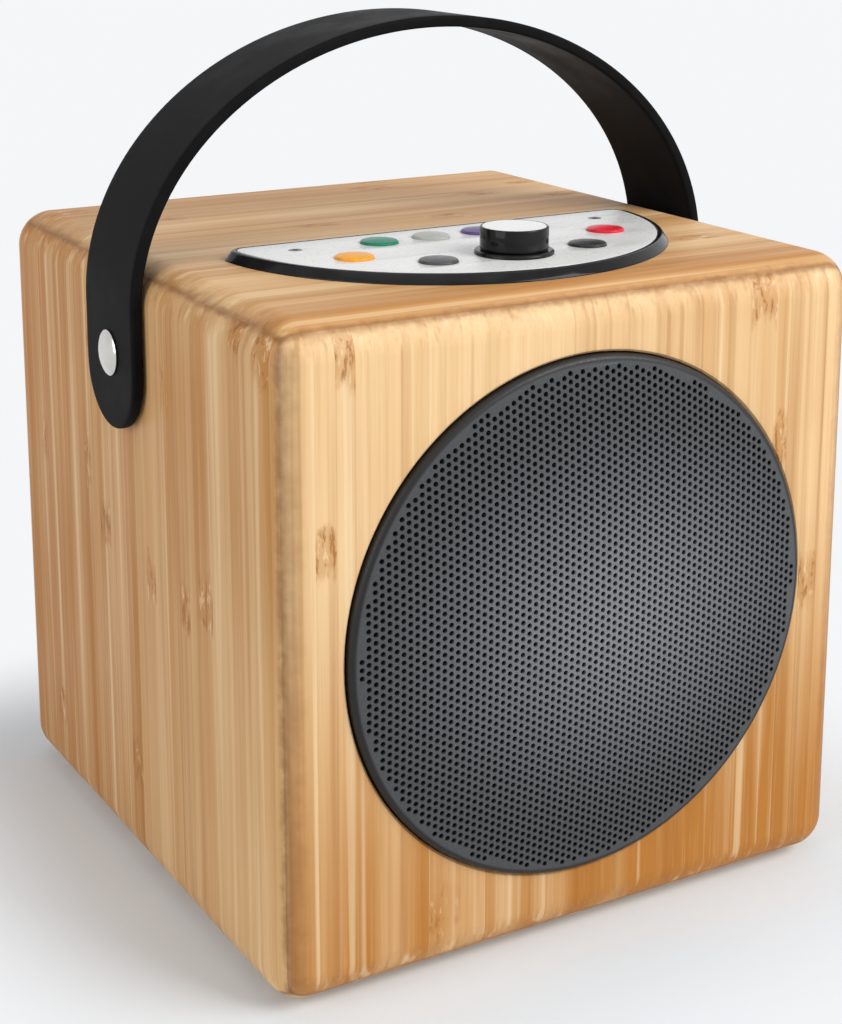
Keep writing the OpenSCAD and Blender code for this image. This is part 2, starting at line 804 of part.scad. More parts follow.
// Both ends of the face plate, where its screws are
module at_plate_screws()
    for (sx = [-1, 1])
        translate(place_on_plate(sx * (plate_r - plate_screw_inset), plate_screw_angle)) children();

// The board rests on these four posts
module at_board_posts()
    for (sx = [-1, 1], angle = post_angles)
        translate(place_on_plate(sx * (plate_r - post_inset), angle)) children();

// A point at a distance from the middle of the plate's straight edge, and an angle below that edge
function place_on_plate(r, angle) = [r * cos(angle), panel_y - abs(r) * sin(angle), 0];

post_r = 2.5;
post_inset = 15;
post_angles = [22, 76];
cable_slot_w = 24;
cable_slot_d = 6;
cable_slot_y = 30;
plate_screw_l = 6;
plate_screw_head_t = 0.8;

module control_tray() color(black) {
    difference() {
        union() {
            translate([0, 0, top_z]) linear_extrude(plate_rise) half_round(rim_w);
            translate([0, 0, tray_low_z]) linear_extrude(tray_depth + past) half_disc(-tray_inset);
        }
        translate([0, 0, plate_low_z]) linear_extrude(plate_t + past) half_round(slip / 2);
        translate([0, 0, tray_floor_z]) linear_extrude(tray_depth + plate_rise)
            half_disc(-tray_inset - tray_wall);
        translate([0, panel_y - cable_slot_y, tray_low_z - past])
            block([cable_slot_w, cable_slot_d, tray_floor_t + 2 * past]);
    }
    translate([0, 0, tray_floor_z - tray_floor_t / 2]) {
        at_plate_screws() difference() {
            cylinder(r = boss_r, h = plate_low_z - tray_floor_z + tray_floor_t / 2, $fn = 48);
            translate([0, 0, plate_low_z - tray_floor_z + tray_floor_t / 2 - plate_screw_l])
                cylinder(r = plate_screw_r + screw_fit, h = plate_screw_l + past, $fn = 24);
        }
        at_board_posts() cylinder(r = post_r, h = board_z - tray_floor_z + tray_floor_t / 2, $fn = 32);
    }
}

module face_plate() color("gainsboro") {
    difference() {
        translate([0, 0, plate_low_z]) linear_extrude(plate_t) difference() {
            half_round(-slip / 2);
            for (b = button_places) translate(b) circle(button_d / 2 + run_fit, $fn = 64);
            translate(knob_place) circle(bushing_r + screw_fit, $fn = 48);
        }
        at_plate_screws() {
            translate([0, 0, plate_low_z - past])
                cylinder(r = plate_screw_r + screw_fit, h = plate_t + 2 * past, $fn = 24);
            plate_screw_head(screw_fit);
        }
    }
}

module plate_screw_head(grow) translate([0, 0, plate_top_z - plate_screw_head_t])
    cylinder(r1 = plate_screw_r + grow, r2 = plate_screw_head_r + grow, h = plate_screw_head_t, $fn = 48);

module plate_screws() color(dark_steel) at_plate_screws() difference() {
    union() {
        plate_screw_head(0);
        translate([0, 0, plate_low_z - plate_screw_l + past])
            cylinder(r = plate_screw_r, h = plate_screw_l, $fn = 24);
    }
    translate([0, 0, plate_top_z - 0.5]) cylinder(r = 0.8, h = past, $fn = 6);
}

module control_board() color(board_green) difference() {
    translate([0, 0, board_z]) linear_extrude(board_t) half_disc(-tray_inset - tray_wall - slip);
    at_plate_screws() translate([0, 0, board_z - past])
        cylinder(r = boss_r + slip, h = board_t + 2 * past, $fn = 48);
}

// BUTTONS. Each cap is guided in the face plate, and its stem goes into a switch on the board.

ring_r = plate_r - ring_inset;
row_y = panel_y - row_gap - button_d / 2;
button_places = [
    place_on_plate(-ring_r, middle_angle), [-outer_x, row_y, 0], [-inner_x, row_y, 0],
    place_on_plate(-ring_r, front_angle), [inner_x, row_y, 0], [outer_x, row_y, 0],
    place_on_plate(ring_r, middle_angle), place_on_plate(ring_r, front_angle)
];
switch_w = 6;
switch_h = 3.5;
stem_r = 1.7;
switch_top_z = board_top_z + switch_h;
stem_low_z = switch_top_z - 1;
flange_top_z = plate_low_z - slip;
flange_low_z = flange_top_z - 0.8;
button_flange_r = button_d / 2 + 0.6;

module button(i) translate(button_places[i]) {
    r = button_d / 2;
    crown = 0.4;
    ball_r = (r * r + crown * crown) / (2 * crown);
    edge_z = plate_top_z + button_proud;
    rotate_extrude($fn = 72) {
        square_at(0, stem_low_z, stem_r, flange_low_z + 0.1);
        square_at(0, flange_low_z, button_flange_r, flange_top_z);
        square_at(0, flange_top_z - 0.1, r, edge_z);
        intersection() {
            translate([0, edge_z + crown - ball_r]) circle(ball_r, $fn = 240);
            square_at(0, edge_z - 0.1, r, edge_z + crown);
        }
    }
}

// A rectangle in a turned profile, from radius and height to radius and height
module square_at(r1, z1, r2, z2) translate([r1, z1]) square([r2 - r1, z2 - z1]);

module button_orange() color("orange") button(0);

module button_green() color("seagreen") button(1);

module button_light_grey() color("darkgray") button(2);

module button_dark_grey() color("dimgray") button(3);

module button_purple() color("rebeccapurple") button(4);

module button_blue() color("royalblue") button(5);

module button_red() color("crimson") button(6);

module button_black() color("#2b2b2d") button(7);

module button_switches() color("#3c3c40") for (b = button_places) translate(b) difference() {
    translate([0, 0, board_top_z]) block([switch_w, switch_w, switch_h]);
    translate([0, 0, stem_low_z - button_travel - 0.4])
        cylinder(r = stem_r + run_fit, h = switch_h, $fn = 32);
}

// KNOB. It turns without end on the encoder's shaft.

knob_place = [0, panel_y - plate_r + knob_inset, 0];
bushing_r = shaft_d / 2 + 0.5;
encoder_w = 12;
encoder_h = min(5, plate_low_z - board_top_z - 0.5);
bushing_top_z = plate_top_z + 1.6;
knob_low_z = plate_top_z + collar_h + slip;
knob_top_z = plate_top_z + knob_rise;
knob_cap_t = 0.8;
shaft_low_z = board_top_z + 2;
shaft_top_z = knob_top_z - knob_cap_t - 0.4;
knob_wall = 2;
knob_roof_t = 2.2;
knob_chamfer = 0.4;
knob_lip = 0.5;
collar_in_r = 6.4;
collar_chamfer = 0.5;

module at_knob() translate(knob_place) children();

module volume_encoder() color("#8a8d90") at_knob() difference() {
    union() {
        translate([0, 0, board_top_z]) block([encoder_w, encoder_w, encoder_h]);
        translate([0, 0, board_top_z + 1])
            cylinder(r = bushing_r, h = bushing_top_z - board_top_z - 1, $fn = 64);
    }
    translate([0, 0, shaft_low_z - slip]) cylinder(r = shaft_d / 2 + run_fit, h = shaft_top_z, $fn = 64);
}

module encoder_nut() color(steel) at_knob() difference() {
    translate([0, 0, plate_top_z]) cylinder(r = collar_in_r - 0.8, h = collar_h, $fn = 6);
    translate([0, 0, plate_top_z - past])
        cylinder(r = bushing_r + screw_fit, h = collar_h + 2 * past, $fn = 64);
}

module encoder_shaft() color(steel) at_knob()
    translate([0, 0, shaft_low_z]) cylinder(d = shaft_d, h = shaft_top_z - shaft_low_z, $fn = 64);

module knob() color(black) at_knob() {
    r = knob_d / 2;
    difference() {
        rotate_extrude($fn = 96) polygon([
            [0, knob_low_z], [r, knob_low_z], [r, knob_top_z - knob_chamfer],
            [r - knob_chamfer, knob_top_z], [0, knob_top_z]
        ]);
        translate([0, 0, knob_low_z - past])
            cylinder(r = r - knob_wall, h = past + knob_top_z - knob_roof_t - knob_low_z, $fn = 64);
        translate([0, 0, knob_top_z - knob_cap_t])
            cylinder(r = r - knob_lip, h = past + knob_cap_t, $fn = 96);
        translate([0, 0, knob_low_z])
            cylinder(d = shaft_d + 2 * screw_fit, h = shaft_top_z - knob_low_z + screw_fit, $fn = 64);
    }
}

module knob_cap() color("whitesmoke") at_knob()
    translate([0, 0, knob_top_z - knob_cap_t])
        cylinder(r = knob_d / 2 - knob_lip - screw_fit, h = knob_cap_t, $fn = 96);

module knob_collar() color(black) at_knob() translate([0, 0, plate_top_z]) rotate_extrude($fn = 96) polygon([
    [collar_in_r, 0], [collar_d / 2, 0], [collar_d / 2, collar_h - collar_chamfer],
    [collar_d / 2 - collar_chamfer, collar_h], [collar_in_r, collar_h]
]);

// INSIDE. The main board on pegs and the battery, both on the bottom panel.

wall_gap = 7;
main_x = -inner_w / 2 + wall_gap + main_w / 2;
main_y = 22;
peg_r = 1.5;
peg_l = 5;
peg_in = 4;
main_lift = 6;
main_z = inner_low_z + main_lift;
main_top_z = main_z + board_t;

module at_pegs() four_corners(main_w / 2 - peg_in, main_d / 2 - peg_in) children();

module main_board() color(board_green) translate([main_x, main_y, main_z]) difference() {
    block([main_w, main_d, board_t]);
    at_pegs() translate([0, 0, -past]) cylinder(r = peg_r + screw_fit, h = board_t + 2 * past, $fn = 24);
}

// Sizes of the parts on the main board
radio = [16, 24, 2.4];
coil_box = [14, 14, 8];
chip = [10, 10, 1.4];
capacitor_d = 8;
capacitor_h = 12;
plug_w = 7;
plug_h = 6;

// Pegs, wire connectors, the radio module, an inductor, a chip and two capacitors
module board_parts() color("#d8d8d0") translate([main_x, main_y, 0]) {
    at_pegs() {
        translate([0, 0, inner_low_z]) cylinder(r = 2 * peg_r, h = main_lift, $fn = 32);
        translate([0, 0, inner_low_z - peg_l + slip])
            cylinder(r = peg_r, h = peg_l + main_lift + board_t + 1, $fn = 24);
    }
    for (p = connector_places)
        translate([p[0] - main_x, p[1] - main_y, main_top_z]) block([plug_w, plug_w, plug_h]);
    translate([-radio[0], radio[1] / 3, main_top_z]) block(radio);
    translate([coil_box[0] / 4, coil_box[1], main_top_z]) block(coil_box);
    translate([0, -chip[1], main_top_z]) block(chip);
    for (x = [2, 3.2]) translate([x * capacitor_d, capacitor_d, main_top_z])
        cylinder(d = capacitor_d, h = capacitor_h, $fn = 48);
}

holder_wall = 2;
holder_end = 4;
holder_w = 2 * cell_d + 3 * holder_wall;
holder_l = cell_l + 2 * holder_wall + 2 * holder_end;
holder_h = cell_d * 0.7 + holder_wall;
cell_gap = 0.1;
battery_x = inner_w / 2 - wall_gap - holder_w / 2 + 1;
battery_y = 12;

module battery_holder() color("#232326") translate([battery_x, battery_y, inner_low_z]) difference() {
    block([holder_w, holder_l, holder_h]);
    for (sx = [-1, 1]) translate([sx * (cell_d + holder_wall) / 2, 0, 0]) {
        translate([0, cell_l / 2 + slip, holder_wall + cell_d / 2 + cell_gap]) rotate([90, 0, 0])
            cylinder(d = cell_d + 2 * cell_gap, h = cell_l + 2 * slip, $fn = 64);
        translate([0, 0, holder_wall + cell_d / 2 + cell_gap])
            block([cell_d + 2 * cell_gap, cell_l + 2 * slip, cell_d]);
    }
}

module battery_cells() color("steelblue") translate([battery_x, battery_y, inner_low_z])
    for (sx = [-1, 1])
        translate([sx * (cell_d + holder_wall) / 2, cell_l / 2, holder_wall + (cell_d + cell_gap) / 2])
            rotate([90, 0, 0]) cylinder(d = cell_d, h = cell_l, $fn = 64);

// CONNECTOR PLATE in the back panel, with its own small board.

rear_t = 2;
rear_corner_r = 4;
rear_edge_x = 7;
rear_edge_z = 5;
rear_cut_w = rear_w - 2 * rear_edge_x;
rear_cut_h = rear_h - 2 * rear_edge_z;
rear_screw_r = 1.3;
rear_screw_l = 8;
rear_screw_head_r = 2.4;
rear_screw_head_t = 1;
rear_z = base_z + rear_up;
rear_post_l = 12;
rear_board_gap = 2;
rear_board_w = rear_cut_w - 2 * rear_board_gap;
rear_board_h = rear_cut_h - 2 * rear_board_gap;
rear_post_r = 2;
post_x = rear_board_w / 2 - 1.5 * rear_post_r;
socket_l = rear_post_l;

// Z points into the box, X to the left as seen from behind, and zero is the back panel's outer face
module on_rear_plate() translate([0, back_out_y, rear_z]) rotate([90, 0, 0]) children();

module rear_screw_places()
    for (sx = [-1, 1], sy = [-1, 1])
        translate([sx * (rear_w / 2 - 4), sy * (rear_h / 2 - 4), 0]) children();

module rear_plate() color(black) on_rear_plate() {
    difference() {
        linear_extrude(rear_t) difference() {
            round_rect(rear_w, rear_h, rear_corner_r);
            translate([charge_x, 0])
                round_rect(charge_w + 2 * slip, charge_h + 2 * slip, charge_h / 2 - charge_flat);
            translate([audio_x, 0]) circle(audio_collar_r + screw_fit, $fn = 48);
            translate([switch_x, 0]) square([slot_w, slot_h], center = true);
        }
        rear_screw_places() {
            translate([0, 0, -past])
                cylinder(r = rear_screw_r + screw_fit, h = rear_t + 2 * past, $fn = 24);
            translate([0, 0, -past])
                cylinder(r = rear_screw_head_r + screw_fit, h = past + rear_screw_head_t, $fn = 32);
        }
    }
    for (sx = [-1, 1])
        translate([sx * post_x, 0, rear_t / 2])
            cylinder(r = rear_post_r, h = rear_post_l + rear_t / 2, $fn = 32);
}

module rear_plate_screws() color(dark_steel) on_rear_plate() rear_screw_places() difference() {
    union() {
        cylinder(r = rear_screw_head_r, h = rear_screw_head_t, $fn = 32);
        cylinder(r = rear_screw_r, h = rear_screw_l - 0.5, $fn = 24);
    }
    translate([0, 0, -past]) cylinder(r = 1, h = past + 0.6, $fn = 6);
}

module rear_board() color(board_green) on_rear_plate()
    translate([0, 0, rear_t + rear_post_l]) block([rear_board_w, rear_board_h, board_t]);

// The sockets and the switch stand between the posts, the charging socket near the middle
charge_x = 4;
charge_w = 9;
charge_h = 3.4;
charge_flat = 0.1;
charge_wall = 0.4;
charge_hollow_l = 6;
module charge_socket() color(steel) on_rear_plate() translate([charge_x, 0, 0]) difference() {
    corner = charge_h / 2 - charge_flat;
    linear_extrude(rear_t + socket_l) round_rect(charge_w, charge_h, corner);
    translate([0, 0, -past]) linear_extrude(past + charge_hollow_l)
        round_rect(charge_w - 2 * charge_wall, charge_h - 2 * charge_wall, corner - charge_wall);
}

audio_body_w = 12;
audio_body_h = 11;
audio_x = post_x - rear_post_r - 2 - audio_body_w / 2;
audio_collar_r = 4;
audio_bore_r = 1.8;
audio_bore_l = 10;
module audio_socket() color("#3a3a3e") on_rear_plate() translate([audio_x, 0, 0]) difference() {
    union() {
        cylinder(r = audio_collar_r, h = rear_t + 1, $fn = 48);
        translate([0, 0, rear_t]) block([audio_body_w, audio_body_h, socket_l]);
    }
    translate([0, 0, -past]) cylinder(r = audio_bore_r, h = past + audio_bore_l, $fn = 32);
}

slider_w = 4;
slider_h = 3;
slider_proud = 1.5;
slider_foot_t = 2;
slot_w = slider_w + switch_travel + 4 * slip;
slot_h = slider_h + 4 * slip;
switch_body_w = 2 * slider_w + switch_travel + 6;
switch_body_h = 8;
switch_gap = 2;
switch_x = -post_x + rear_post_r + 3 + switch_body_w / 2;
module power_switch() color("#3a3a3e") on_rear_plate() translate([switch_x, 0, rear_t]) difference() {
    translate([0, 0, switch_gap]) block([switch_body_w, switch_body_h, socket_l - switch_gap]);
    translate([0, 0, switch_gap + 1.5 * slip])
        block([2 * slider_w + switch_travel + 4 * slip, slot_h, slider_foot_t + 2 * slip]);
    translate([0, 0, switch_gap - past]) block([slot_w, slot_h, past + slider_foot_t]);
}

// It rests at the off end of its slot
module power_slider() color("whitesmoke") on_rear_plate() {
    foot_s = rear_t + switch_gap + 2 * slip;
    translate([switch_x + switch_travel / 2, 0, 0]) {
        translate([0, 0, -slider_proud]) block([slider_w, slider_h, slider_proud + foot_s + slip]);
        translate([0, 0, foot_s]) block([2 * slider_w, slider_h, slider_foot_t]);
    }
}

// WIRES. Tubes swept along routes chosen by hand, between plugs and solder points.

function unit(v) = v / norm(v);

// A point on the smooth curve through p, between points i and i + 1
function curve_point(p, i, t) =
    let (a = p[max(i - 1, 0)], b = p[i], c = p[i + 1], d = p[min(i + 2, len(p) - 1)])
    0.5 * (
        2 * b + (c - a) * t + (2 * a - 5 * b + 4 * c - d) * t * t + (3 * b - a - 3 * c + d) * t * t * t
    );

function curve(p, steps) = concat(
    [for (i = [0 : len(p) - 2], k = [0 : steps - 1]) curve_point(p, i, k / steps)], [p[len(p) - 1]]
);

// The direction of the curve at each point, and a side direction carried along without twist
function directions(p) = [
    for (i = [0 : len(p) - 1]) unit(p[min(i + 1, len(p) - 1)] - p[max(i - 1, 0)])
];
function carried(d, i, s) =
    i >= len(d) ? [] : let (n = unit(s - (s * d[i]) * d[i])) concat([n], carried(d, i + 1, n));

module wire(route, r, steps) {
    sides = 8;
    p = curve(route, steps);
    d = directions(p);
    n = carried(d, 0, abs(d[0][0]) < 0.9 ? [1, 0, 0] : [0, 1, 0]);
    rings = len(p);
    points = [
        for (i = [0 : rings - 1], k = [0 : sides - 1])
            p[i] + r * (cos(k * 360 / sides) * n[i] + sin(k * 360 / sides) * cross(d[i], n[i]))
    ];
    faces = concat(
        [[for (k = [0 : sides - 1]) k]],
        [
            for (i = [0 : rings - 2], k = [0 : sides - 1])
                let (a = i * sides + k, b = i * sides + (k + 1) % sides) [a, a + sides, b + sides, b]
        ],
        [[for (k = [sides - 1 : -1 : 0]) (rings - 1) * sides + k]]
    );
    polyhedron(points, faces);
}

// Radii of the thin wires and of the flat cables' round jackets
wire_r = 0.9;
cable_r = 1.6;

// Where the wires start on the main board's connectors, and where they end
connector_z = main_top_z + plug_h;
driver_plug = [main_x - main_w / 2 + 7, main_y - main_d / 2 + 14, connector_z];
control_plug = [main_x, main_y - main_d / 2 + 5, connector_z];
battery_plug = [main_x + main_w / 2 - 6, main_y - main_d / 2 + 16, connector_z];
rear_plug = [main_x + 8, main_y + main_d / 2 - 5, connector_z];
connector_places = [driver_plug, control_plug, battery_plug, rear_plug];
battery_tab = [battery_x, battery_y - holder_l / 2 + 3, inner_low_z + holder_h];
rear_joint = [6, back_out_y - rear_t - rear_post_l - board_t, rear_z];
control_joint = [0, panel_y - cable_slot_y, board_z];
tag_y = front_in_y + flange_s + tag_strip_t + tag_l;
tag_z = grille_z - tag_r - 2.4;

module inner_wires() {
    for (side = [-1, 1]) color(side < 0 ? "red" : "black") wire([
        driver_plug + [side * 1.5, 0, 0], driver_plug + [side * 1.5, 0, 8],
        driver_plug + [8 + side * 1.5, side * 2 - 10, 13],
        [side * tag_x - 14, tag_y + 26 + side * 2, tag_z + 8],
        [side * tag_x, tag_y + 12, tag_z], [side * tag_x, tag_y, tag_z]
    ], wire_r, 6);
    for (side = [-1, 1]) color(side < 0 ? "red" : "black") wire([
        battery_plug + [side * 1.5, 0, 0], battery_plug + [side * 1.5, 0, 6],
        battery_plug + [8 + side * 1.5, side - 8, 9], battery_tab + [side * 1.5 - 7, side + 7, 7],
        battery_tab + [side * 1.5, 0, 5], battery_tab + [side * 1.5, 0, 0]
    ], wire_r, 4);
    color("gray") wire([
        rear_plug, rear_plug + [0, 0, 7], rear_plug + [3, 3, 14], rear_joint + [0, -9, -4],
        rear_joint + [0, -6, 0], rear_joint
    ], cable_r, 4);
    color("gray") wire([
        control_plug, control_plug + [0, 0, 9], [control_plug[0] + 2, control_plug[1] + 3, grille_z - 20],
        [control_plug[0] + 14, control_plug[1] + 4, grille_z + 20], control_joint + [-2, 14, -32],
        control_joint + [0, 0, -14], control_joint
    ], cable_r, 5);
}

// The grille reaches forward of the box, so the box stands half of that further back
stand_back = (grille_proud + grille_rise) / 2;

translate([0, stand_back, 0]) {
    front_panel();
    back_panel();
    left_panel();
    right_panel();
    top_panel();
    bottom_panel();
    back_cleats();
    back_seal();
    back_screws();
    feet();
    foot_screws();
    grille();
    grille_cloth();
    driver_gasket();
    driver_basket();
    driver_screws();
    driver_terminals();
    surround();
    cone();
    dust_cap();
    voice_coil();
    spider();
    magnet_top_plate();
    magnet();
    magnet_back_plate();
    handle_strap();
    handle_bolts();
    handle_spacers();
    handle_nuts();
    control_tray();
    face_plate();
    plate_screws();
    control_board();
    button_switches();
    button_orange();
    button_green();
    button_light_grey();
    button_dark_grey();
    button_purple();
    button_blue();
    button_red();
    button_black();
    volume_encoder();
    encoder_nut();
    encoder_shaft();
    knob();
    knob_cap();
    knob_collar();
    main_board();
    board_parts();
    battery_holder();
    battery_cells();
    rear_plate();
    rear_plate_screws();
    rear_board();
    charge_socket();
    audio_socket();
    power_switch();
    power_slider();
    inner_wires();
}
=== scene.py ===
"""Dresses the bamboo children's speaker: finishes, detailed pieces, floor, lamps and camera."""
import math

import bmesh
import bpy
from bpy.props import FloatProperty, FloatVectorProperty, PointerProperty
from mathutils import Matrix, Vector
from mathutils.geometry import tessellate_polygon


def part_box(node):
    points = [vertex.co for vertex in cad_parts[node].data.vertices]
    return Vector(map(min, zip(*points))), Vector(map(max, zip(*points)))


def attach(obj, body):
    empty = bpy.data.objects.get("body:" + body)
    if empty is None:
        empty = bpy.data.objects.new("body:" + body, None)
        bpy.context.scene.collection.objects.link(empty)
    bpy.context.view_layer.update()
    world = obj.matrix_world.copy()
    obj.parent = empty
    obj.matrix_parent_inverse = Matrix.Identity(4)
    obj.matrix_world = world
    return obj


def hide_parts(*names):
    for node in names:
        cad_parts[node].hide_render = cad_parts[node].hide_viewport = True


bl_info = {
    "name": "Bamboo speaker dressing",
    "version": (1, 0, 0),
    "blender": (4, 5, 0),
    "location": "3D View > Sidebar > Speaker",
    "description": "Builds the finishes and the detailed pieces of a bamboo children's speaker",
    "category": "Object",
}

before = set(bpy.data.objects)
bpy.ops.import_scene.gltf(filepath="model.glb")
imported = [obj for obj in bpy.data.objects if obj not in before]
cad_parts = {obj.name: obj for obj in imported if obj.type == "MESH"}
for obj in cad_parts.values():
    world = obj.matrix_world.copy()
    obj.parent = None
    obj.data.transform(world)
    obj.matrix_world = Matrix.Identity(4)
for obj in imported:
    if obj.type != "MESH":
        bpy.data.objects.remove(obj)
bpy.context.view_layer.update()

MM = 0.001
BUTTONS = ("orange", "green", "light_grey", "dark_grey", "purple", "blue", "red", "black")
SIDES = (-1, 1)  # the signs of a mirrored pair


# Places taken from the frame

def node_box(name):
    """Lowest and highest corner of a node, as vectors."""
    low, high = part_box(name)
    return Vector(low), Vector(high)


def middle(name):
    """Middle of a node's box."""
    low, high = node_box(name)
    return (low + high) / 2


# Lowest and highest corner of the wooden box, and its middle
WOOD_LOW = Vector((
    node_box("left_panel")[0].x, node_box("front_panel")[0].y, node_box("bottom_panel")[0].z))
WOOD_HIGH = Vector((
    node_box("right_panel")[1].x, node_box("left_panel")[1].y, node_box("top_panel")[1].z))
WOOD_MID = (WOOD_LOW + WOOD_HIGH) / 2


# Shader building

class Value:
    """A socket of a shader. An expression on it adds the Math nodes that work it out."""

    def __init__(self, shader, socket):
        self.shader = shader
        self.socket = socket

    def math(self, operation, *others):
        return self.shader.node("ShaderNodeMath", {"operation": operation}, dict(enumerate((self, *others))))

    def __add__(self, other):
        return self.math("ADD", other)

    __radd__ = __add__

    def __mul__(self, other):
        return self.math("MULTIPLY", other)

    __rmul__ = __mul__

    def __sub__(self, other):
        return self.math("SUBTRACT", other)

    def __rsub__(self, other):
        return self.shader.node("ShaderNodeMath", {"operation": "SUBTRACT"}, {0: other, 1: self})

    def __truediv__(self, other):
        return self.math("DIVIDE", other)

    def __pow__(self, other):
        return self.math("POWER", other)

    def __abs__(self):
        return self.math("ABSOLUTE")

    def high(self, other):
        """The larger of the two."""
        return self.math("MAXIMUM", other)

    def fraction(self):
        return self.math("FRACT")

    def ramp(self, start, end, out_start=0.0, out_end=1.0):
        """A smooth step from out_start at start to out_end at end."""
        return self.shader.node(
            "ShaderNodeMapRange", {"interpolation_type": "SMOOTHSTEP"},
            {"Value": self, "From Min": start, "From Max": end, "To Min": out_start, "To Max": out_end})


class Shader:
    """A node tree whose sockets take numbers, colours or Values."""

    def __init__(self, tree):
        self.tree = tree
        tree.nodes.clear()
        self.coordinates = None

    def put(self, socket, value):
        if isinstance(value, Value):
            self.tree.links.new(value.socket, socket)
        elif hasattr(value, "__len__") and len(value) == 3 and socket.type == "RGBA":
            socket.default_value = (*value, 1.0)
        else:
            socket.default_value = value

    def node(self, kind, settings=None, sockets=None, output=0):
        """Adds a node: its settings first, then the values or links of its sockets."""
        made = self.tree.nodes.new(kind)
        for name, value in (settings or {}).items():
            setattr(made, name, value)
        for name, value in (sockets or {}).items():
            self.put(made.inputs[name], value)
        return Value(self, made.outputs[output])

    def xyz(self):
        """The three coordinates of the point in the frame, in metres."""
        if self.coordinates is None:
            point = self.node("ShaderNodeTexCoord", output="Object")
            split = self.node("ShaderNodeSeparateXYZ", sockets={0: point}).socket.node
            self.coordinates = [Value(self, socket) for socket in split.outputs]
        return self.coordinates

    def point(self, x, y, z):
        return self.node("ShaderNodeCombineXYZ", sockets={0: x, 1: y, 2: z})

    def mix(self, factor, first, second):
        """A colour between two colours."""
        # The Mix node's sockets 6 and 7 are its two colours, and its output 2 is the colour between them
        return self.node("ShaderNodeMix", {"data_type": "RGBA"}, {"Factor": factor, 6: first, 7: second},
                         output=2)

    def noise(self, point, scale, detail, roughness=0.5):
        return self.node("ShaderNodeTexNoise", None, {
            "Vector": point, "Scale": scale, "Detail": detail, "Roughness": roughness})

    def grain(self, scale, detail, roughness, stretch=(1.0, 1.0, 1.0)):
        """Noise over the object's own coordinates, with a stretch along each axis."""
        x, y, z = self.xyz()
        point = self.point(x * stretch[0], y * stretch[1], z * stretch[2])
        return self.noise(point, scale, detail, roughness)

    def glow(self, kind, colour, strength):
        """A shader of even light: an Emission or a Background."""
        return self.node(kind, None, {"Color": colour, "Strength": strength})

    def seen_directly(self):
        """1 for the rays that show the surroundings as they are: those of camera, gloss and clear parts."""
        paths = self.node("ShaderNodeLightPath").socket.node.outputs
        rays = ("Camera", "Glossy", "Transmission")
        camera, gloss, through = (Value(self, paths[f"Is {ray} Ray"]) for ray in rays)
        return camera.high(gloss).high(through)

    def blend(self, factor, first, second):
        """A shader between two shaders."""
        return self.node("ShaderNodeMixShader", None, {0: factor, 1: first, 2: second})


class Finish(Shader):
    """One material: a Principled surface."""

    def __init__(self, name, colour, roughness, metallic=0.0, **constants):
        self.material = bpy.data.materials.new(name)
        self.material.use_nodes = True
        self.material.diffuse_color = (*colour, 1.0)
        super().__init__(self.material.node_tree)
        self.surface = self.tree.nodes.new("ShaderNodeBsdfPrincipled")
        self.output = self.tree.nodes.new("ShaderNodeOutputMaterial")
        self.put(self.output.inputs["Surface"], Value(self, self.surface.outputs[0]))
        self.set(**{"Base Color": colour, "Roughness": roughness, "Metallic": metallic})
        self.set(**{key.replace("_", " ").title(): value for key, value in constants.items()})

    def set(self, **sockets):
        for name, value in sockets.items():
            self.put(self.surface.inputs[name], value)

    def vary(self, colour, roughness):
        """Feeds a colour and a roughness that change over the surface."""
        self.set(**{"Base Color": colour, "Roughness": roughness})

    def relief(self, height, distance, strength):
        """Feeds a height through a Bump node into the surface's normal."""
        self.set(Normal=self.node("ShaderNodeBump", None, {
            "Height": height, "Distance": distance, "Strength": strength}))


def finish_node(material, *nodes):
    """Gives CAD nodes a finish through their own material slots."""
    for name in nodes:
        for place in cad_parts[name].material_slots:
            place.material = material


# Mesh building

def add_piece(name, parts, material, body, replaced, angle=35.0, merge=1e-7):
    """Makes one piece from parts, each a list of points and a list of faces, and ties it to the frame.

    It replaces one CAD node. Edges sharper than the angle, in degrees, stay sharp, and points closer than
    merge, in metres, become one.
    """
    points, faces = [], []
    for part_points, part_faces in parts:
        start = len(points)
        points.extend(part_points)
        faces.extend([tuple(index + start for index in face) for face in part_faces])
    mesh = bpy.data.meshes.new(name)
    mesh.from_pydata([tuple(point) for point in points], [], faces)
    work = bmesh.new()
    work.from_mesh(mesh)
    bmesh.ops.remove_doubles(work, verts=work.verts, dist=merge)
    bmesh.ops.dissolve_degenerate(work, edges=work.edges, dist=merge)
    bmesh.ops.recalc_face_normals(work, faces=work.faces)
    work.to_mesh(mesh)
    work.free()
    mesh.shade_smooth()
    mesh.set_sharp_from_angle(angle=math.radians(angle))
    piece = bpy.data.objects.new(name, mesh)
    bpy.context.scene.collection.objects.link(piece)
    mesh.materials.append(material)
    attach(piece, body)
    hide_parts(replaced)


def loft(rings, capped=True):
    """Joins rings of equal count with faces, and closes the first and the last ring."""
    count = len(rings[0])
    points = [point for ring in rings for point in ring]
    faces = []
    for row in range(len(rings) - 1):
        for step in range(count):
            after = (step + 1) % count
            faces.append((row * count + step, row * count + after,
                          (row + 1) * count + after, (row + 1) * count + step))
    if capped:
        faces.append(tuple(range(count)))
        faces.append(tuple(reversed(range((len(rings) - 1) * count, len(rings) * count))))
    return points, faces


def looped(rings):
    """Joins rings of equal count round and round, the last one back to the first."""
    points, faces = loft(rings, capped=False)
    count = len(rings[0])
    last = (len(rings) - 1) * count
    for step in range(count):
        after = (step + 1) % count
        faces.append((last + step, last + after, after, step))
    return points, faces


def circle(radius, height, steps, place):
    """A ring about an upright axis, moved by a matrix."""
    return [place @ Vector((radius * math.cos(2 * math.pi * step / steps),
                            radius * math.sin(2 * math.pi * step / steps), height)) for step in range(steps)]


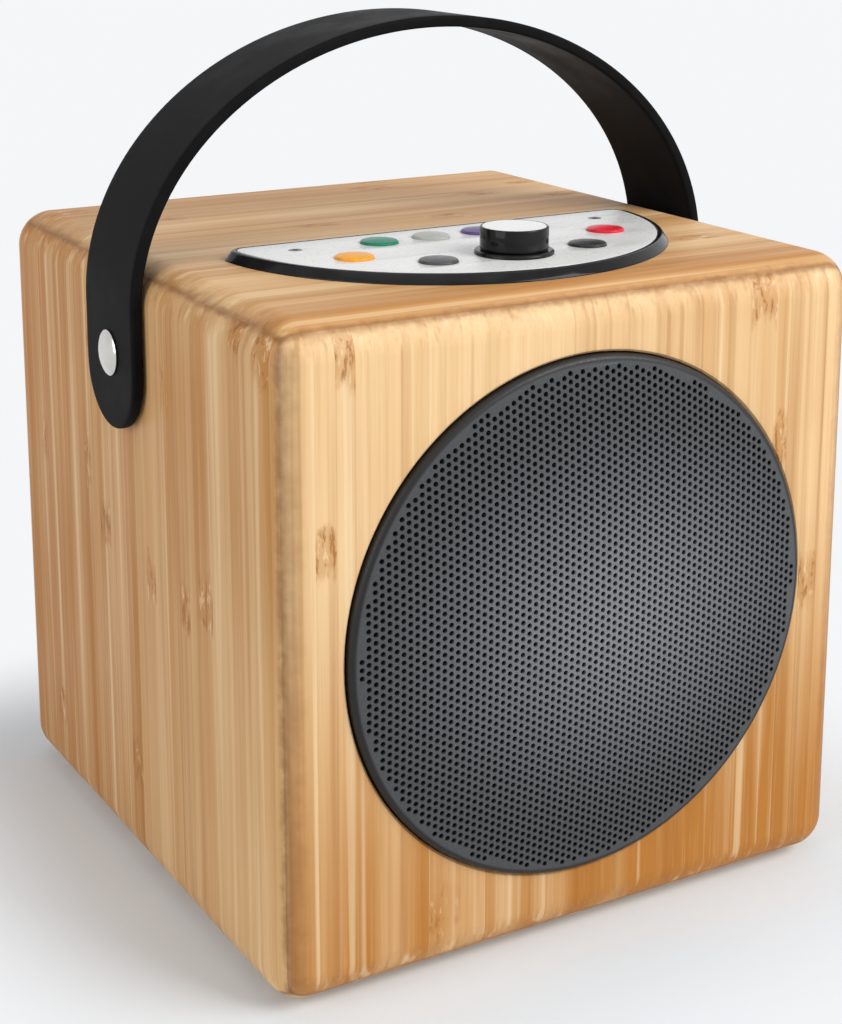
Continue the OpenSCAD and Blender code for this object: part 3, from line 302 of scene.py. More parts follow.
def turned(profile, place, steps=64, hollow=False):
    """Turns a profile of (radius, height) pairs about the axis. A hollow one is closed round its section."""
    rings = [circle(max(radius, 1e-6), height, steps, place) for radius, height in profile]
    return looped(rings) if hollow else loft(rings)


def arc(middle_x, middle_y, radius, start, end, steps):
    """Points of an arc, angles in degrees, both ends included."""
    return [(middle_x + radius * math.cos(math.radians(start + (end - start) * step / steps)),
             middle_y + radius * math.sin(math.radians(start + (end - start) * step / steps)))
            for step in range(steps + 1)]


def rounded_outline(width, height, corner, steps=8):
    """A rectangle with round corners about the origin."""
    x, y = width / 2 - corner, height / 2 - corner
    line = []
    for sx, sy, start in ((1, 1, 0), (-1, 1, 90), (-1, -1, 180), (1, -1, 270)):
        line.extend(arc(sx * x, sy * y, corner, start, start + 90, steps))
    return line


def round_hole(x, y, radius, steps):
    return arc(x, y, radius, 0, 360, steps)[:-1]


def shifted(line, x, y):
    return [(point[0] + x, point[1] + y) for point in line]


def grown(line, distance):
    """A closed, anticlockwise outline moved outwards by a distance along its own normals."""
    moved = []
    count = len(line)
    for step in range(count):
        before, here, after = (Vector(line[(step + shift) % count]) for shift in (-1, 0, 1))
        first, second = here - before, after - here
        if first.length < 1e-9:
            first = second
        if second.length < 1e-9:
            second = first
        normal_a = Vector((first.y, -first.x)).normalized()
        normal_b = Vector((second.y, -second.x)).normalized()
        normal = (normal_a + normal_b).normalized()
        moved.append(tuple(here + normal * distance / max(normal.dot(normal_a), 0.5)))
    return moved


def plate_solid(outline, holes, low, high, bevel, place):
    """A flat plate with holes. Its upper edges, and those of its holes, are rounded off."""
    points, faces = [], []

    def ring(line, height):
        start = len(points)
        points.extend(place @ Vector((point[0], point[1], height)) for point in line)
        return list(range(start, start + len(line)))

    def wall(first, second):
        count = len(first)
        for step in range(count):
            after = (step + 1) % count
            faces.append((first[step], first[after], second[after], second[step]))

    def cover(rings, lines):
        flat = [index for one in rings for index in one]
        for triangle in tessellate_polygon([[Vector((*point, 0.0)) for point in line] for line in lines]):
            faces.append(tuple(flat[index] for index in triangle))

    tops, top_lines, bottoms, bottom_lines = [], [], [], []
    for line, sense in [(outline, -1.0)] + [(hole, 1.0) for hole in holes]:
        rings = [ring(line, low), ring(line, high - bevel)]
        for angle in (30.0, 60.0, 90.0):
            inset = sense * bevel * (1 - math.cos(math.radians(angle)))
            rise = high - bevel + bevel * math.sin(math.radians(angle))
            last_line = grown(line, inset)
            rings.append(ring(last_line, rise))
        for first, second in zip(rings, rings[1:]):
            wall(first, second)
        bottoms.append(rings[0])
        bottom_lines.append(line)
        tops.append(rings[-1])
        top_lines.append(last_line)
    cover(tops, top_lines)
    cover(bottoms, bottom_lines)
    return points, faces


def soft_profile(low, high, radius, edge, dome, steps=5, dome_steps=8):
    """The profile of a turned button: a straight side, a rounded edge and a domed top."""
    line = [(radius, low)]
    top = high - edge
    for step in range(steps + 1):
        angle = math.radians(90 * step / steps)
        line.append((radius - edge + edge * math.cos(angle), top + edge * math.sin(angle)))
    flat = radius - edge
    for step in range(1, dome_steps + 1):
        share = 1 - step / dome_steps
        line.append((flat * share, high + dome * (1 - share * share)))
    return line


def block(width, depth, height, corner, place, steps=3):
    """A block on the level zero, with rounded sides and a rounded top edge."""
    outline = rounded_outline(width, depth, corner, 4)
    soft = corner * 0.9  # a little less than the corner's radius, so that the top ring keeps its corners
    rings = [[place @ Vector((*point, 0.0)) for point in outline]]
    for step in range(steps + 1):
        angle = math.radians(90 * step / steps)
        inset = soft * (1 - math.cos(angle))
        rise = height - soft + soft * math.sin(angle)
        rings.append([place @ Vector((*point, rise)) for point in grown(outline, -inset)])
    return loft(rings)


def at(x, y, z):
    return Matrix.Translation((x, y, z))


# Settings

SENSOR = 36.0  # width of the camera's sensor, in millimetres
PHOTO_HEIGHT = 1024.0  # the photograph's height, in its pixels
PHOTO_FOCUS = 1980.0  # the focal length, in the photograph's pixels
PHOTO_AXIS_ROW = 300.0  # the row of the photograph that the camera's axis passes through


def colour_setting(name, description, default):
    return FloatVectorProperty(
        name=name, description=description, subtype="COLOR", default=default, min=0.0, max=1.0)


def length_setting(name, description, default, **limits):
    return FloatProperty(name=name, description=description, subtype="DISTANCE", default=default, **limits)


def share_setting(name, description, default):
    return FloatProperty(
        name=name, description=description, subtype="FACTOR", default=default, min=0.0, max=1.0)


def power_setting(name, description, default):
    return FloatProperty(name=name, description=description, unit="POWER", default=default)


class BambooSettings(bpy.types.PropertyGroup):
    light: colour_setting("Light strips", "Colour of the palest bamboo strips", (0.865, 0.585, 0.305))
    # The dark strips' colour is also where the painted shade of the tones and the fades turns the wood
    dark: colour_setting("Dark strips", "Colour of the darkest bamboo strips", (0.475, 0.185, 0.028))
    pale: colour_setting("Pale streaks", "Colour of the thin pale streaks", (0.93, 0.70, 0.42))
    deep: colour_setting("Dark streaks", "Colour of the dark streaks and the nodes", (0.36, 0.13, 0.026))
    # The glue's colour is also the colour of the painted shade on the rounded edges beside the joints
    seam: colour_setting("Joints", "Colour of the glue in the mitre joints", (0.25, 0.10, 0.03))
    strip: length_setting("Strip width", "Mean width of a glued strip", 6 * MM, min=2 * MM, max=20 * MM)
    roughness: share_setting("Roughness", "Roughness of the satin lacquer", 0.45)


class GrilleSettings(bpy.types.PropertyGroup):
    # The sheet's paint goes from colour about its middle to outer towards its rim: a painted highlight on the
    # dome and painted shade towards its edge
    colour: colour_setting("Paint", "Colour of the painted sheet", (0.215, 0.225, 0.235))
    outer: colour_setting("Outer paint", "Colour of the painted sheet towards its rim", (0.064, 0.065, 0.069))
    # The rim's black, darker than the sheet's paint, is painted shade of the gap behind the wood's edge
    rim: colour_setting("Rim", "Colour of the turned-back rim", (0.010, 0.009, 0.009))
    pitch: length_setting(
        "Pitch", "Distance between the middles of two holes", 2.05 * MM, min=1.5 * MM, max=5 * MM)
    hole: length_setting("Hole", "Diameter of a hole", 1.35 * MM, min=0.5 * MM, max=4 * MM)


class HandleSettings(bpy.types.PropertyGroup):
    colour: colour_setting("Leather", "Colour of the strap", (0.011, 0.011, 0.0115))
    edge: length_setting("Edge rounding", "Radius of the strap's edges", 0.8 * MM, min=0.2 * MM, max=1.5 * MM)


class ControlSettings(bpy.types.PropertyGroup):
    plate: colour_setting("Face plate", "Colour of the face plate", (0.87, 0.865, 0.85))
    gloss: colour_setting("Gloss black", "Colour of the rim, the knob and its collar", (0.010, 0.010, 0.011))
    bevel: length_setting(
        "Bevel", "Rounding of the face plate's edges", 0.15 * MM, min=0.05 * MM, max=0.4 * MM)


class ButtonSettings(bpy.types.PropertyGroup):
    orange: colour_setting("Orange", "Colour of the orange button", (0.87, 0.36, 0.02))
    green: colour_setting("Green", "Colour of the green button", (0.01, 0.20, 0.11))
    light_grey: colour_setting("Light grey", "Colour of the light grey button", (0.43, 0.43, 0.40))
    dark_grey: colour_setting("Dark grey", "Colour of the dark grey button", (0.07, 0.07, 0.07))
    purple: colour_setting("Purple", "Colour of the purple button", (0.12, 0.07, 0.22))
    blue: colour_setting("Blue", "Colour of the blue button", (0.01, 0.06, 0.38))
    red: colour_setting("Red", "Colour of the red button", (0.68, 0.02, 0.04))
    black: colour_setting("Black", "Colour of the nearly black button", (0.03, 0.03, 0.03))
    edge: length_setting("Edge", "Rounding of a button's edge", 0.55 * MM, min=0.1 * MM, max=1 * MM)


class StudioSettings(bpy.types.PropertyGroup):
    azimuth: FloatProperty(
        name="Azimuth", description="Direction of the camera, zero in front", subtype="ANGLE",
        default=math.radians(-30.0))
    elevation: FloatProperty(
        name="Elevation", description="Height of the camera's view above level", subtype="ANGLE",
        default=math.radians(12.5))
    distance: length_setting("Distance", "Distance of the camera", 0.565)
    focus: FloatProperty(
        name="Lens", description="Focal length of the camera, in millimetres",
        default=PHOTO_FOCUS * SENSOR / PHOTO_HEIGHT)
    side: length_setting("Side offset", "Camera's offset to its right", 3.2 * MM)
    lift: length_setting("Upward offset", "Camera's offset upwards", 63.4 * MM)
    shift: FloatProperty(
        name="Lens shift", description="Upward shift of the lens, as a share of the long side",
        default=(PHOTO_AXIS_ROW - PHOTO_HEIGHT / 2) / PHOTO_HEIGHT)
    floor: colour_setting("Floor", "Colour of the floor", (0.80, 0.85, 0.89))
    backdrop: colour_setting("Backdrop", "Colour that the surroundings show", (0.913, 0.921, 0.939))
    veil: share_setting("Veil", "Share of the backdrop's colour in the floor beside the object", 0.10)
    shadow_start: length_setting(
        "Veil start", "Distance from the box at which the floor starts to turn into the backdrop", 4 * MM)
    shadow_end: length_setting(
        "Veil end", "Distance from the box at which the floor has the backdrop's colour", 80 * MM)
    air: FloatProperty(name="Air", description="Strength of the light from all around", default=0.30, min=0.0)
    key: power_setting("Key lamp", "Power of the lamp in front on the right", 19.0)
    top: power_setting("Top lamp", "Power of the lamp overhead", 2.6)
    fill: power_setting("Fill lamp", "Power of the lamp on the left", 5.2)


# Finishes

def bamboo(name, along, across, seed, settings, tone=0.5, fades=(), joints=(), painted_shade_bands=()):
    """Glued bamboo strips that run along one axis and lie side by side across another.

    A fade is an axis, a start, an end and how much darker the wood gets between them; on the front and the
    sides this darkening is painted shade. A joint is a pair of faces that meet in a mitre. A strip beside an
    edge is a face, a start, an end and the strength of a brown strip of painted shade on the rounded edge.
    """
    finish = Finish(name, settings.light, settings.roughness)
    axes = finish.xyz()
    length, width = axes[along], axes[across]
    depth = axes[3 - along - across]
    wander = 1.6 * MM  # how far a strip's or a joint's edge strays from its straight line
    wobble = finish.noise(finish.point(length * 5.0, seed, 0.0), 1.0, 2.0)
    strips = {"W": width + (wobble - 0.5) * wander + seed * 0.731, "Scale": 1.0 / settings.strip,
              "Randomness": 1.0}
    cell = finish.node("ShaderNodeTexVoronoi", {"voronoi_dimensions": "1D"}, strips, output="Color")
    split = finish.node("ShaderNodeSeparateColor", sockets={0: cell}).socket.node
    strip_tone, strip_hue, strip_place = (Value(finish, socket) for socket in split.outputs)
    edge = finish.node("ShaderNodeTexVoronoi", {"voronoi_dimensions": "1D", "feature": "DISTANCE_TO_EDGE"},
                       strips, output="Distance")

    def grown_along(fine, slow, shift, detail=2.0, rough=0.5):
        """Noise with a fine grain across the strips and a slow one along them."""
        point = finish.point(width * fine, depth * fine, length * slow + shift)
        return finish.noise(point, 1.0, detail, rough)

    own = strip_hue * 7.0 + seed
    broad = grown_along(110.0, 3.0, seed)
    streak = grown_along(300.0, 3.4, own)
    fibre = grown_along(1500.0, 20.0, own, 3.0, 0.6)
    hair = grown_along(3600.0, 60.0, own)
    cloud = grown_along(13.0, 8.0, seed)
    shade = (strip_tone - 0.5) * 0.26 + (broad - 0.5) * 1.2 + (cloud - 0.5) * 0.8 + tone
    # On the front and the sides the fades are painted shade; on the top they darken the wood towards its
    # front and back edges
    for axis, start, end, amount in fades:
        shade = shade + axes[axis].ramp(start, end, 0.0, amount)
    colour = finish.mix(shade, settings.light, settings.dark)
    for source, start, end, strength, tint in (
            (streak, 0.54, 0.74, 0.50, settings.pale),
            (streak, 0.46, 0.26, 0.42, settings.deep),
            (fibre, 0.48, 0.76, 0.18, settings.dark),
            (fibre, 0.46, 0.24, 0.14, settings.pale),
            (hair, 0.58, 0.78, 0.12, settings.deep)):
        colour = finish.mix(source.ramp(start, end) * strength, colour, tint)
    seam_line = edge.ramp(0.09, 0.01) * strip_hue.ramp(0.35, 0.8)
    colour = finish.mix(seam_line * 0.22, colour, settings.deep)

    # Nodes: here and there a patch of short dark and pale flecks across a strip
    spacing = 210 * MM
    from_node = abs((length / spacing + strip_place * 3.0).fraction() - 0.5) * spacing
    ragged = grown_along(260.0, 90.0, seed + 4.0, 3.0, 0.6)
    patch = (from_node + (ragged - 0.5) * (14 * MM)).ramp(8.5 * MM, 3.5 * MM) * strip_tone.ramp(0.35, 0.5)
    fleck = grown_along(620.0, 170.0, seed + 9.0, 3.0, 0.6)
    colour = finish.mix(patch * 0.4, colour, settings.dark)
    colour = finish.mix(patch * fleck.ramp(0.52, 0.62) * 0.75, colour, settings.deep)
    colour = finish.mix(patch * fleck.ramp(0.42, 0.34) * 0.5, colour, settings.pale)

    # Mitre joints: a ragged line of glue, and beside it a brown strip of painted shade on the rounded edge
    half = WOOD_HIGH - WOOD_MID
    inward = {
        "side": half.x - abs(axes[0] - WOOD_MID.x),
        "front": axes[1] - WOOD_LOW.y,
        "level": half.z - abs(axes[2] - WOOD_MID.z),
    }
    scratch = finish.grain(420.0, 2.0, 0.5)
    blotch = finish.grain(120.0, 3.0, 0.6)
    # A brown strip of painted shade on the rounded edge beside a joint
    for face, start, end, strength in painted_shade_bands:
        painted_shade_band = (inward[face] + (blotch - 0.5) * (4 * MM) + (scratch - 0.5) * wander).ramp(start, end)
        colour = finish.mix(painted_shade_band * strength, colour, settings.seam)
    for first, second in joints:
        gap = abs(inward[first] - inward[second]) + (scratch - 0.5) * wander
        near = (inward[first] + inward[second]).ramp(17 * MM, 12 * MM)
        glue = gap.ramp(2.4 * MM, 0.1 * MM) * blotch.ramp(0.30, 0.60) * near
        colour = finish.mix(glue * 0.62, colour, settings.seam)
    finish.set(**{"Base Color": colour, "Specular IOR Level": 0.2, "Roughness": fibre.ramp(
        0.3, 0.7, settings.roughness - 0.05, settings.roughness + 0.07)})
    height = fibre * 0.5 - seam_line * 0.3 - patch * fleck.ramp(0.5, 0.62) * 0.6 + hair * 0.2
    finish.relief(height, 0.06 * MM, 0.4)
    return finish.material


def sawn_wood(name, colour, dark):
    """Plain softwood with a sawn face."""
    finish = Finish(name, colour, 0.7)
    x, y, z = finish.xyz()
    rings = finish.noise(finish.point(x * 14.0, y * 320.0, z * 320.0), 1.0, 4.0, 0.6)
    finish.set(**{"Base Color": finish.mix(rings.ramp(0.35, 0.7), colour, dark)})
    finish.relief(rings, 0.3 * MM, 0.5)
    return finish.material


def plastic(name, colour, roughness, scale=2600.0, depth=0.04 * MM, spread=0.05, lighter=0.35, specular=0.5,
            **constants):
    """Moulded plastic or rubber with a fine, even texture and faint cloudiness."""
    finish = Finish(name, colour, roughness, **constants)
    finish.set(**{"Specular IOR Level": specular})
    fine = finish.grain(scale, 2.0, 0.5)
    cloud = finish.grain(90.0, 2.0, 0.5)
    pale = tuple(min(channel * (1 + lighter) + 0.004, 1.0) for channel in colour)
    finish.vary(finish.mix(cloud.ramp(0.35, 0.7), colour, pale),
                cloud.ramp(0.3, 0.7, max(roughness - spread, 0.02), roughness + spread))
    finish.relief(fine, depth, 0.4)
    return finish.material


def metal(name, colour, roughness, stretch=(1.0, 1.0, 1.0), scale=1400.0, depth=0.01 * MM, spread=0.08):
    """Bare or plated metal with fine brushing or tarnish."""
    finish = Finish(name, colour, roughness, 1.0)
    brush = finish.grain(scale, 3.0, 0.6, stretch)
    cloud = finish.grain(140.0, 2.0, 0.5)
    dull = tuple(channel * 0.82 for channel in colour)
    finish.vary(finish.mix(cloud.ramp(0.35, 0.75), colour, dull),
                (brush * 0.6 + cloud * 0.4).ramp(0.3, 0.7, max(roughness - spread, 0.02), roughness + spread))
    finish.relief(brush, depth, 0.4)
    return finish.material


def woven(name, colour, thread, lighter):
    """Thin cloth with a plain weave of two thread directions."""
    finish = Finish(name, colour, 0.9, sheen_weight=0.2)
    x, _, z = finish.xyz()
    over, under = ((axis * (math.pi / thread)).math("SINE") for axis in (x, z))
    weave = abs(over * under)
    finish.set(**{"Base Color": finish.mix(weave.ramp(0.1, 0.8), colour, lighter)})
    finish.relief(weave, 0.1 * MM, 0.6)
    return finish.material


def grille_paint(settings, centre, shoulder):
    """Satin paint with a painted highlight, lighter in the middle of the sheet and darker towards its edge,
    and a black rim that is painted shade.
    """
    finish = Finish("grille_paint", settings.colour, 0.42)
    speck = finish.grain(1900.0, 2.0, 0.6)
    x, _, z = finish.xyz()
    out = ((x - centre.x) ** 2.0 + (z - centre.z) ** 2.0) ** 0.5
    # Painted highlight: the sheet is lighter about a spot right of its middle, and darker towards its edge
    from_painted_highlight = ((x - centre.x - 6 * MM) ** 2.0 + ((z - centre.z) * 1.3) ** 2.0) ** 0.5
    colour = finish.mix(from_painted_highlight.ramp(0.0, 75 * MM), settings.colour, settings.outer)
    colour = finish.mix(speck.ramp(0.35, 0.65) * 0.25, colour, settings.rim)
    # The rounded shoulder and the turned-back rim turn black: painted shade of the gap behind the wood's edge
    finish.vary(finish.mix(out.ramp(shoulder - 0.3 * MM, shoulder + 0.5 * MM), colour, settings.rim),
                speck.ramp(0.3, 0.7, 0.38, 0.52))
    finish.set(**{"Specular IOR Level": 0.35})
    finish.relief(speck, 0.03 * MM, 0.5)
    return finish.material


def leather(settings, half_width, middle_y):
    """Black leather with fine pores and a darker line along its edges."""
    finish = Finish("strap_leather", settings.colour, 0.45)
    pores = finish.node("ShaderNodeTexVoronoi", {"feature": "DISTANCE_TO_EDGE"}, {
        "Vector": finish.point(*finish.xyz()), "Scale": 1500.0}, output="Distance")
    wax = finish.grain(60.0, 3.0, 0.6)
    edge_line = (half_width - abs(finish.xyz()[1] - middle_y)).ramp(1.6 * MM, 0.8 * MM)
    pale = tuple(channel * 1.4 + 0.002 for channel in settings.colour)
    colour = finish.mix(wax.ramp(0.4, 0.75), settings.colour, pale)
    colour = finish.mix(edge_line * 0.5, colour, (0.006, 0.006, 0.006))
    finish.vary(colour, wax.ramp(0.3, 0.7, 0.38, 0.52))
    finish.set(IOR=1.07)
    finish.relief(pores.ramp(0.0, 0.16) * 0.5 + wax * 0.4, 0.06 * MM, 0.5)
    return finish.material


def plate_satin(settings):
    """Pale plate with fine brushing from side to side."""
    finish = Finish("plate_satin", settings.plate, 0.30, 0.15)
    brush = finish.grain(2400.0, 3.0, 0.6, (0.2, 1.0, 1.0))
    cloud = finish.grain(60.0, 2.0, 0.5)
    dull = tuple(channel * 0.93 for channel in settings.plate)
    finish.vary(finish.mix(cloud.ramp(0.35, 0.7) * 0.4 + brush * 0.15, settings.plate, dull),
                brush.ramp(0.3, 0.7, 0.26, 0.36))
    finish.relief(brush, 0.002 * MM, 0.3)
    return finish.material


def button_cap(name, colour):
    """Satin plastic of a coloured button, a little worn."""
    finish = Finish(name, colour, 0.24)
    cloud = finish.grain(260.0, 2.0, 0.5)
    fine = finish.grain(3000.0, 2.0, 0.5)
    worn = tuple(min(channel * 1.15 + 0.004, 1.0) for channel in colour)
    finish.vary(finish.mix(cloud.ramp(0.35, 0.7), colour, worn), cloud.ramp(0.3, 0.7, 0.26, 0.36))
    finish.set(**{"Specular IOR Level": 0.2})
    finish.relief(fine, 0.01 * MM, 0.4)
    return finish.material


# Box

class SPEAKER_OT_cabinet(bpy.types.Operator):
    """Finish the six bamboo panels of the box, the cleats and the seal behind the back"""
    bl_idname = "speaker.cabinet"
    bl_label = "Cabinet"

    def execute(self, context):
        settings = context.scene.speaker_bamboo
        x, y, z = 0, 1, 2
        top, bottom = WOOD_HIGH.z, WOOD_LOW.z
        front, back = WOOD_LOW.y, WOOD_HIGH.y
        line = 2.9 * MM  # depth at which a mitre joint comes out on a rounded edge
        # The front's pale tone beside the sides' darker one is painted light, and its fades towards the
        # bottom and the right are painted shade
        finish_node(bamboo(
            "bamboo_front", z, x, 3.1, settings, 0.10,
            fades=[(z, top - 40 * MM, bottom, 0.74), (x, 0.0, 90 * MM, 0.16)],
            joints=[("front", "level"), ("side", "front")],
            painted_shade_bands=[("side", line + 5.5 * MM, line, 0.55), ("level", line + 2 * MM, line, 0.35)]),
                    "front_panel")
        # The sides' darker tone and their fade towards the back are painted shade
        for node, seed in (("left_panel", 8.4), ("right_panel", 15.7)):
            finish_node(bamboo(
                "bamboo_" + node[:-6], z, y, seed, settings, 0.50,
                fades=[(y, front + 50 * MM, back - 20 * MM, 0.40)],
                joints=[("side", "level"), ("side", "front")],
                painted_shade_bands=[("level", line + 2 * MM, line, 0.3)]), node)
        finish_node(bamboo(
            "bamboo_top", x, y, 21.9, settings, 0.36,
            fades=[(y, front + 40 * MM, front + 5 * MM, 0.42), (y, back - 60 * MM, back, 0.15)],
            joints=[("front", "level"), ("side", "level")],
            painted_shade_bands=[("front", line + 2 * MM, line, 0.3), ("side", line + 3 * MM, line, 0.3)]), "top_panel")
        finish_node(bamboo("bamboo_bottom", x, y, 33.2, settings, 0.6,
                           joints=[("front", "level"), ("side", "level")]), "bottom_panel")
        finish_node(bamboo("bamboo_back", z, x, 42.6, settings, 0.55), "back_panel")
        finish_node(sawn_wood("cleat_pine", (0.66, 0.46, 0.26), (0.45, 0.27, 0.12)), "back_cleats")
        finish_node(plastic("seal_foam", (0.035, 0.035, 0.038), 0.85, 1800.0, 0.3 * MM),
                    "back_seal", "driver_gasket")
        return {"FINISHED"}


# Grille

SHEET_T = 0.8 * MM
SHOULDER_R = 1.6 * MM
DOME_RISE = 3.0 * MM
# A hexagonal cell's corners and the middles of its sides, in eighths of its width and quarters of its height
CELL_OUTLINE = ((4, 0), (3, 1), (2, 2), (0, 2), (-2, 2), (-3, 1),
                (-4, 0), (-3, -1), (-2, -2), (0, -2), (2, -2), (3, -1))


def closed_loop(edges):
    """The one loop that directed edges make when they are followed from the first on."""
    follow = {first: second for first, second in edges}
    loop = [next(iter(follow))]
    while follow[loop[-1]] != loop[0]:
        loop.append(follow[loop[-1]])
    if len(loop) != len(follow):
        raise RuntimeError("the edge of the grille's holes isn't one loop")
    return loop


def perforated_cells(settings, reach, pair):
    """Hexagonal cells with a round hole each, whose middles lie within a reach of the sheet's middle.

    pair adds the front and the back point at a place and gives their numbers. The result is the faces, and
    the pairs of points round the outside of all the cells.
    """
    hole = settings.hole / 2
    unit_x, unit_z = settings.pitch / (4 * math.sqrt(3.0)), settings.pitch / 4
    angles = [math.atan2(key_z * unit_z, key_x * unit_x) for key_x, key_z in CELL_OUTLINE]
    faces, corners_made, open_edges = [], {}, {}

    def corner(key):
        """The pair at a corner, which neighbouring cells share."""
        if key not in corners_made:
            corners_made[key] = pair(key[0] * unit_x, key[1] * unit_z)
        return corners_made[key]

    columns = int(reach / (6 * unit_x)) + 1
    rows = int(reach / settings.pitch) + 2
    for column in range(-columns, columns + 1):
        for row in range(-rows, rows + 1):
            key_x, key_z = 6 * column, 4 * row + (2 if column % 2 else 0)
            x, z = key_x * unit_x, key_z * unit_z
            if math.hypot(x, z) > reach:
                continue
            outer = [corner((key_x + across, key_z + up)) for across, up in CELL_OUTLINE]
            inner = [pair(x + hole * math.cos(angle), z + hole * math.sin(angle)) for angle in angles]
            for step, first in enumerate(outer):
                after = (step + 1) % len(outer)
                second = outer[after]
                faces.append((first[0], second[0], inner[after][0], inner[step][0]))
                faces.append((inner[step][0], inner[after][0], inner[after][1], inner[step][1]))
                faces.append((first[1], inner[step][1], inner[after][1], second[1]))
                if (second, first) in open_edges:
                    del open_edges[(second, first)]
                else:
                    open_edges[(first, second)] = True
    return faces, closed_loop(open_edges)


def grille_mesh(settings, centre, rim, front, back):
    """The domed sheet with its holes, its rounded shoulder and its turned-back rim."""
    shoulder = rim - SHOULDER_R
    lean = 2 * math.atan(DOME_RISE / shoulder)
    ball = shoulder / math.sin(lean) + SHOULDER_R
    points = []

    def pair(x, z):
        """Adds the front and the back point of the dome at a place."""
        dome = front + ball - math.sqrt(ball * ball - x * x - z * z)
        points.extend((centre.x + x, dome + deeper, centre.z + z) for deeper in (0.0, SHEET_T))
        return len(points) - 2, len(points) - 1

    margin = settings.pitch / math.sqrt(3.0) + 0.1 * MM
    faces, loop = perforated_cells(settings, shoulder - margin, pair)
    steps, bend_steps = 180, 10
    bends = [lean + (math.pi / 2 - lean) * step / bend_steps for step in range(bend_steps + 1)]

    def shoulder_line(radius):
        """The rounded shoulder's profile, a radius from its middle: radii and depths."""
        deepest = front + DOME_RISE + SHOULDER_R
        return [(shoulder + radius * math.sin(bend), deepest - radius * math.cos(bend)) for bend in bends]

    rim_edge = 0.1 * MM
    sections = shoulder_line(SHOULDER_R)
    sections += [(rim, back - rim_edge), (rim - rim_edge, back), (rim - SHEET_T, back)]
    sections += reversed(shoulder_line(SHOULDER_R - SHEET_T))
    rings = []
    for radius, deep in sections:
        rings.append(range(len(points), len(points) + steps))
        for step in range(steps):
            angle = 2 * math.pi * step / steps
            points.append((centre.x + radius * math.cos(angle), deep, centre.z + radius * math.sin(angle)))
    for first, second in zip(rings, rings[1:]):
        for step in range(steps):
            after = (step + 1) % steps
            faces.append((first[step], second[step], second[after], first[after]))
    for side, ring in ((0, rings[0]), (1, rings[-1])):
        inner = [both[side] for both in loop]
        flat = [*ring, *inner]
        lines = [[Vector((points[index][0], points[index][2], 0.0)) for index in one]
                 for one in (ring, inner)]
        faces += [tuple(flat[index] for index in triangle) for triangle in tessellate_polygon(lines)]
    return points, faces


class SPEAKER_OT_grille(bpy.types.Operator):
    """Build the domed perforated grille, and finish the cloth behind it"""
    bl_idname = "speaker.grille"
    bl_label = "Grille"

    def execute(self, context):
        settings = context.scene.speaker_grille
        low, high = node_box("grille")
        centre = (low + high) / 2
        rim = (high.x - low.x) / 2
        sheet = grille_mesh(settings, centre, rim, low.y, high.y)
        paint = grille_paint(settings, centre, rim - SHOULDER_R)
        add_piece("perforated_grille", [sheet], paint, "cabinet", "grille")
        cloth = woven("acoustic_cloth", (0.006, 0.006, 0.007), 0.5 * MM, (0.016, 0.016, 0.017))
        finish_node(cloth, "grille_cloth")
        return {"FINISHED"}


# Handle

STRAP_T = 3 * MM


def strap_rings(low, high, edge):
    """Rings of points from the half-round end on the left, over the crown, to the end on the right."""
    half_width = (high.y - low.y) / 2
    middle_y = (high.y + low.y) / 2
    end_z = low.z + half_width
    bend_z = WOOD_HIGH.z - 12 * MM
    middle_x = high.x - STRAP_T / 2
    rise = high.z - STRAP_T / 2 - bend_z
    # Half a section: how far a point is inset from the edge, how deep it lies, and its share of the width
    rounded = [(edge * (1 - math.sin(math.radians(angle))), edge * (1 - math.cos(math.radians(angle))), 1.0)
               for angle in (0, 22.5, 45, 67.5, 90)]
    upper = [(edge, 0.0, share) for share in (0.0, 0.35, 0.62, 0.80, 0.91)] + rounded
    half_ring = upper + [(inset, STRAP_T - sunk, share) for inset, sunk, share in reversed(upper)]

    def section(base, out, end=0.0):
        """A ring round the strap. An end of up to 90 degrees puts it on the half-round end past the leg."""
        ring = []
        for sign, line in ((1, half_ring), (-1, half_ring[::-1])):
            for inset, sunk, share in line:
                if share == 0.0 and sign < 0:
                    continue
                radius = half_width - inset
                across = Vector((0, sign * radius * math.cos(end) * share, -radius * math.sin(end)))
                ring.append(base + out * (STRAP_T / 2 - sunk) + across)
        return ring

    leg_steps, crown_steps = 8, 96
    outwards = Vector((-1, 0, 0))
    leg = [section(Vector((-middle_x, middle_y, end_z)), outwards, math.radians(angle))
           for angle in (90, 84, 78, 72, 64, 56, 48, 40, 32, 24, 16, 8)]
    leg += [section(Vector((-middle_x, middle_y, end_z + (bend_z - end_z) * step / leg_steps)), outwards)
            for step in range(leg_steps)]
    crown = []
    for step in range(crown_steps + 1):
        angle = math.pi - math.pi * step / crown_steps
        out = Vector((rise * math.cos(angle), 0, middle_x * math.sin(angle))).normalized()
        base = Vector((middle_x * math.cos(angle), middle_y, bend_z + rise * math.sin(angle)))
        crown.append(section(base, out))
    # The mirrored leg's rings start at the same point and run the same way round as the others
    mirrored = [[Vector((-point.x, point.y, point.z)) for point in ring] for ring in reversed(leg)]
    return leg + crown + mirrored


def bolt_profile(length):
    """A bolt of a length over all, with a low domed head whose top lies on the level zero."""
    head_r, head_t, shank_r = 6 * MM, 2 * MM, 2.5 * MM
    profile = [(0.0, -length), (shank_r, -length), (shank_r, -head_t),
               (head_r - 0.25 * MM, -head_t), (head_r, -head_t + 0.12 * MM), (head_r, -head_t + 0.35 * MM),
               (head_r - 0.12 * MM, -head_t + 0.52 * MM)]
    rise = head_t - 0.5 * MM
    ball = (head_r ** 2 + rise ** 2) / (2 * rise)
    steps = 14
    for step in range(1, steps + 1):
        radius = head_r * (1 - step / steps) * 0.96
        profile.append((radius, math.sqrt(ball * ball - radius * radius) - ball))
    return profile


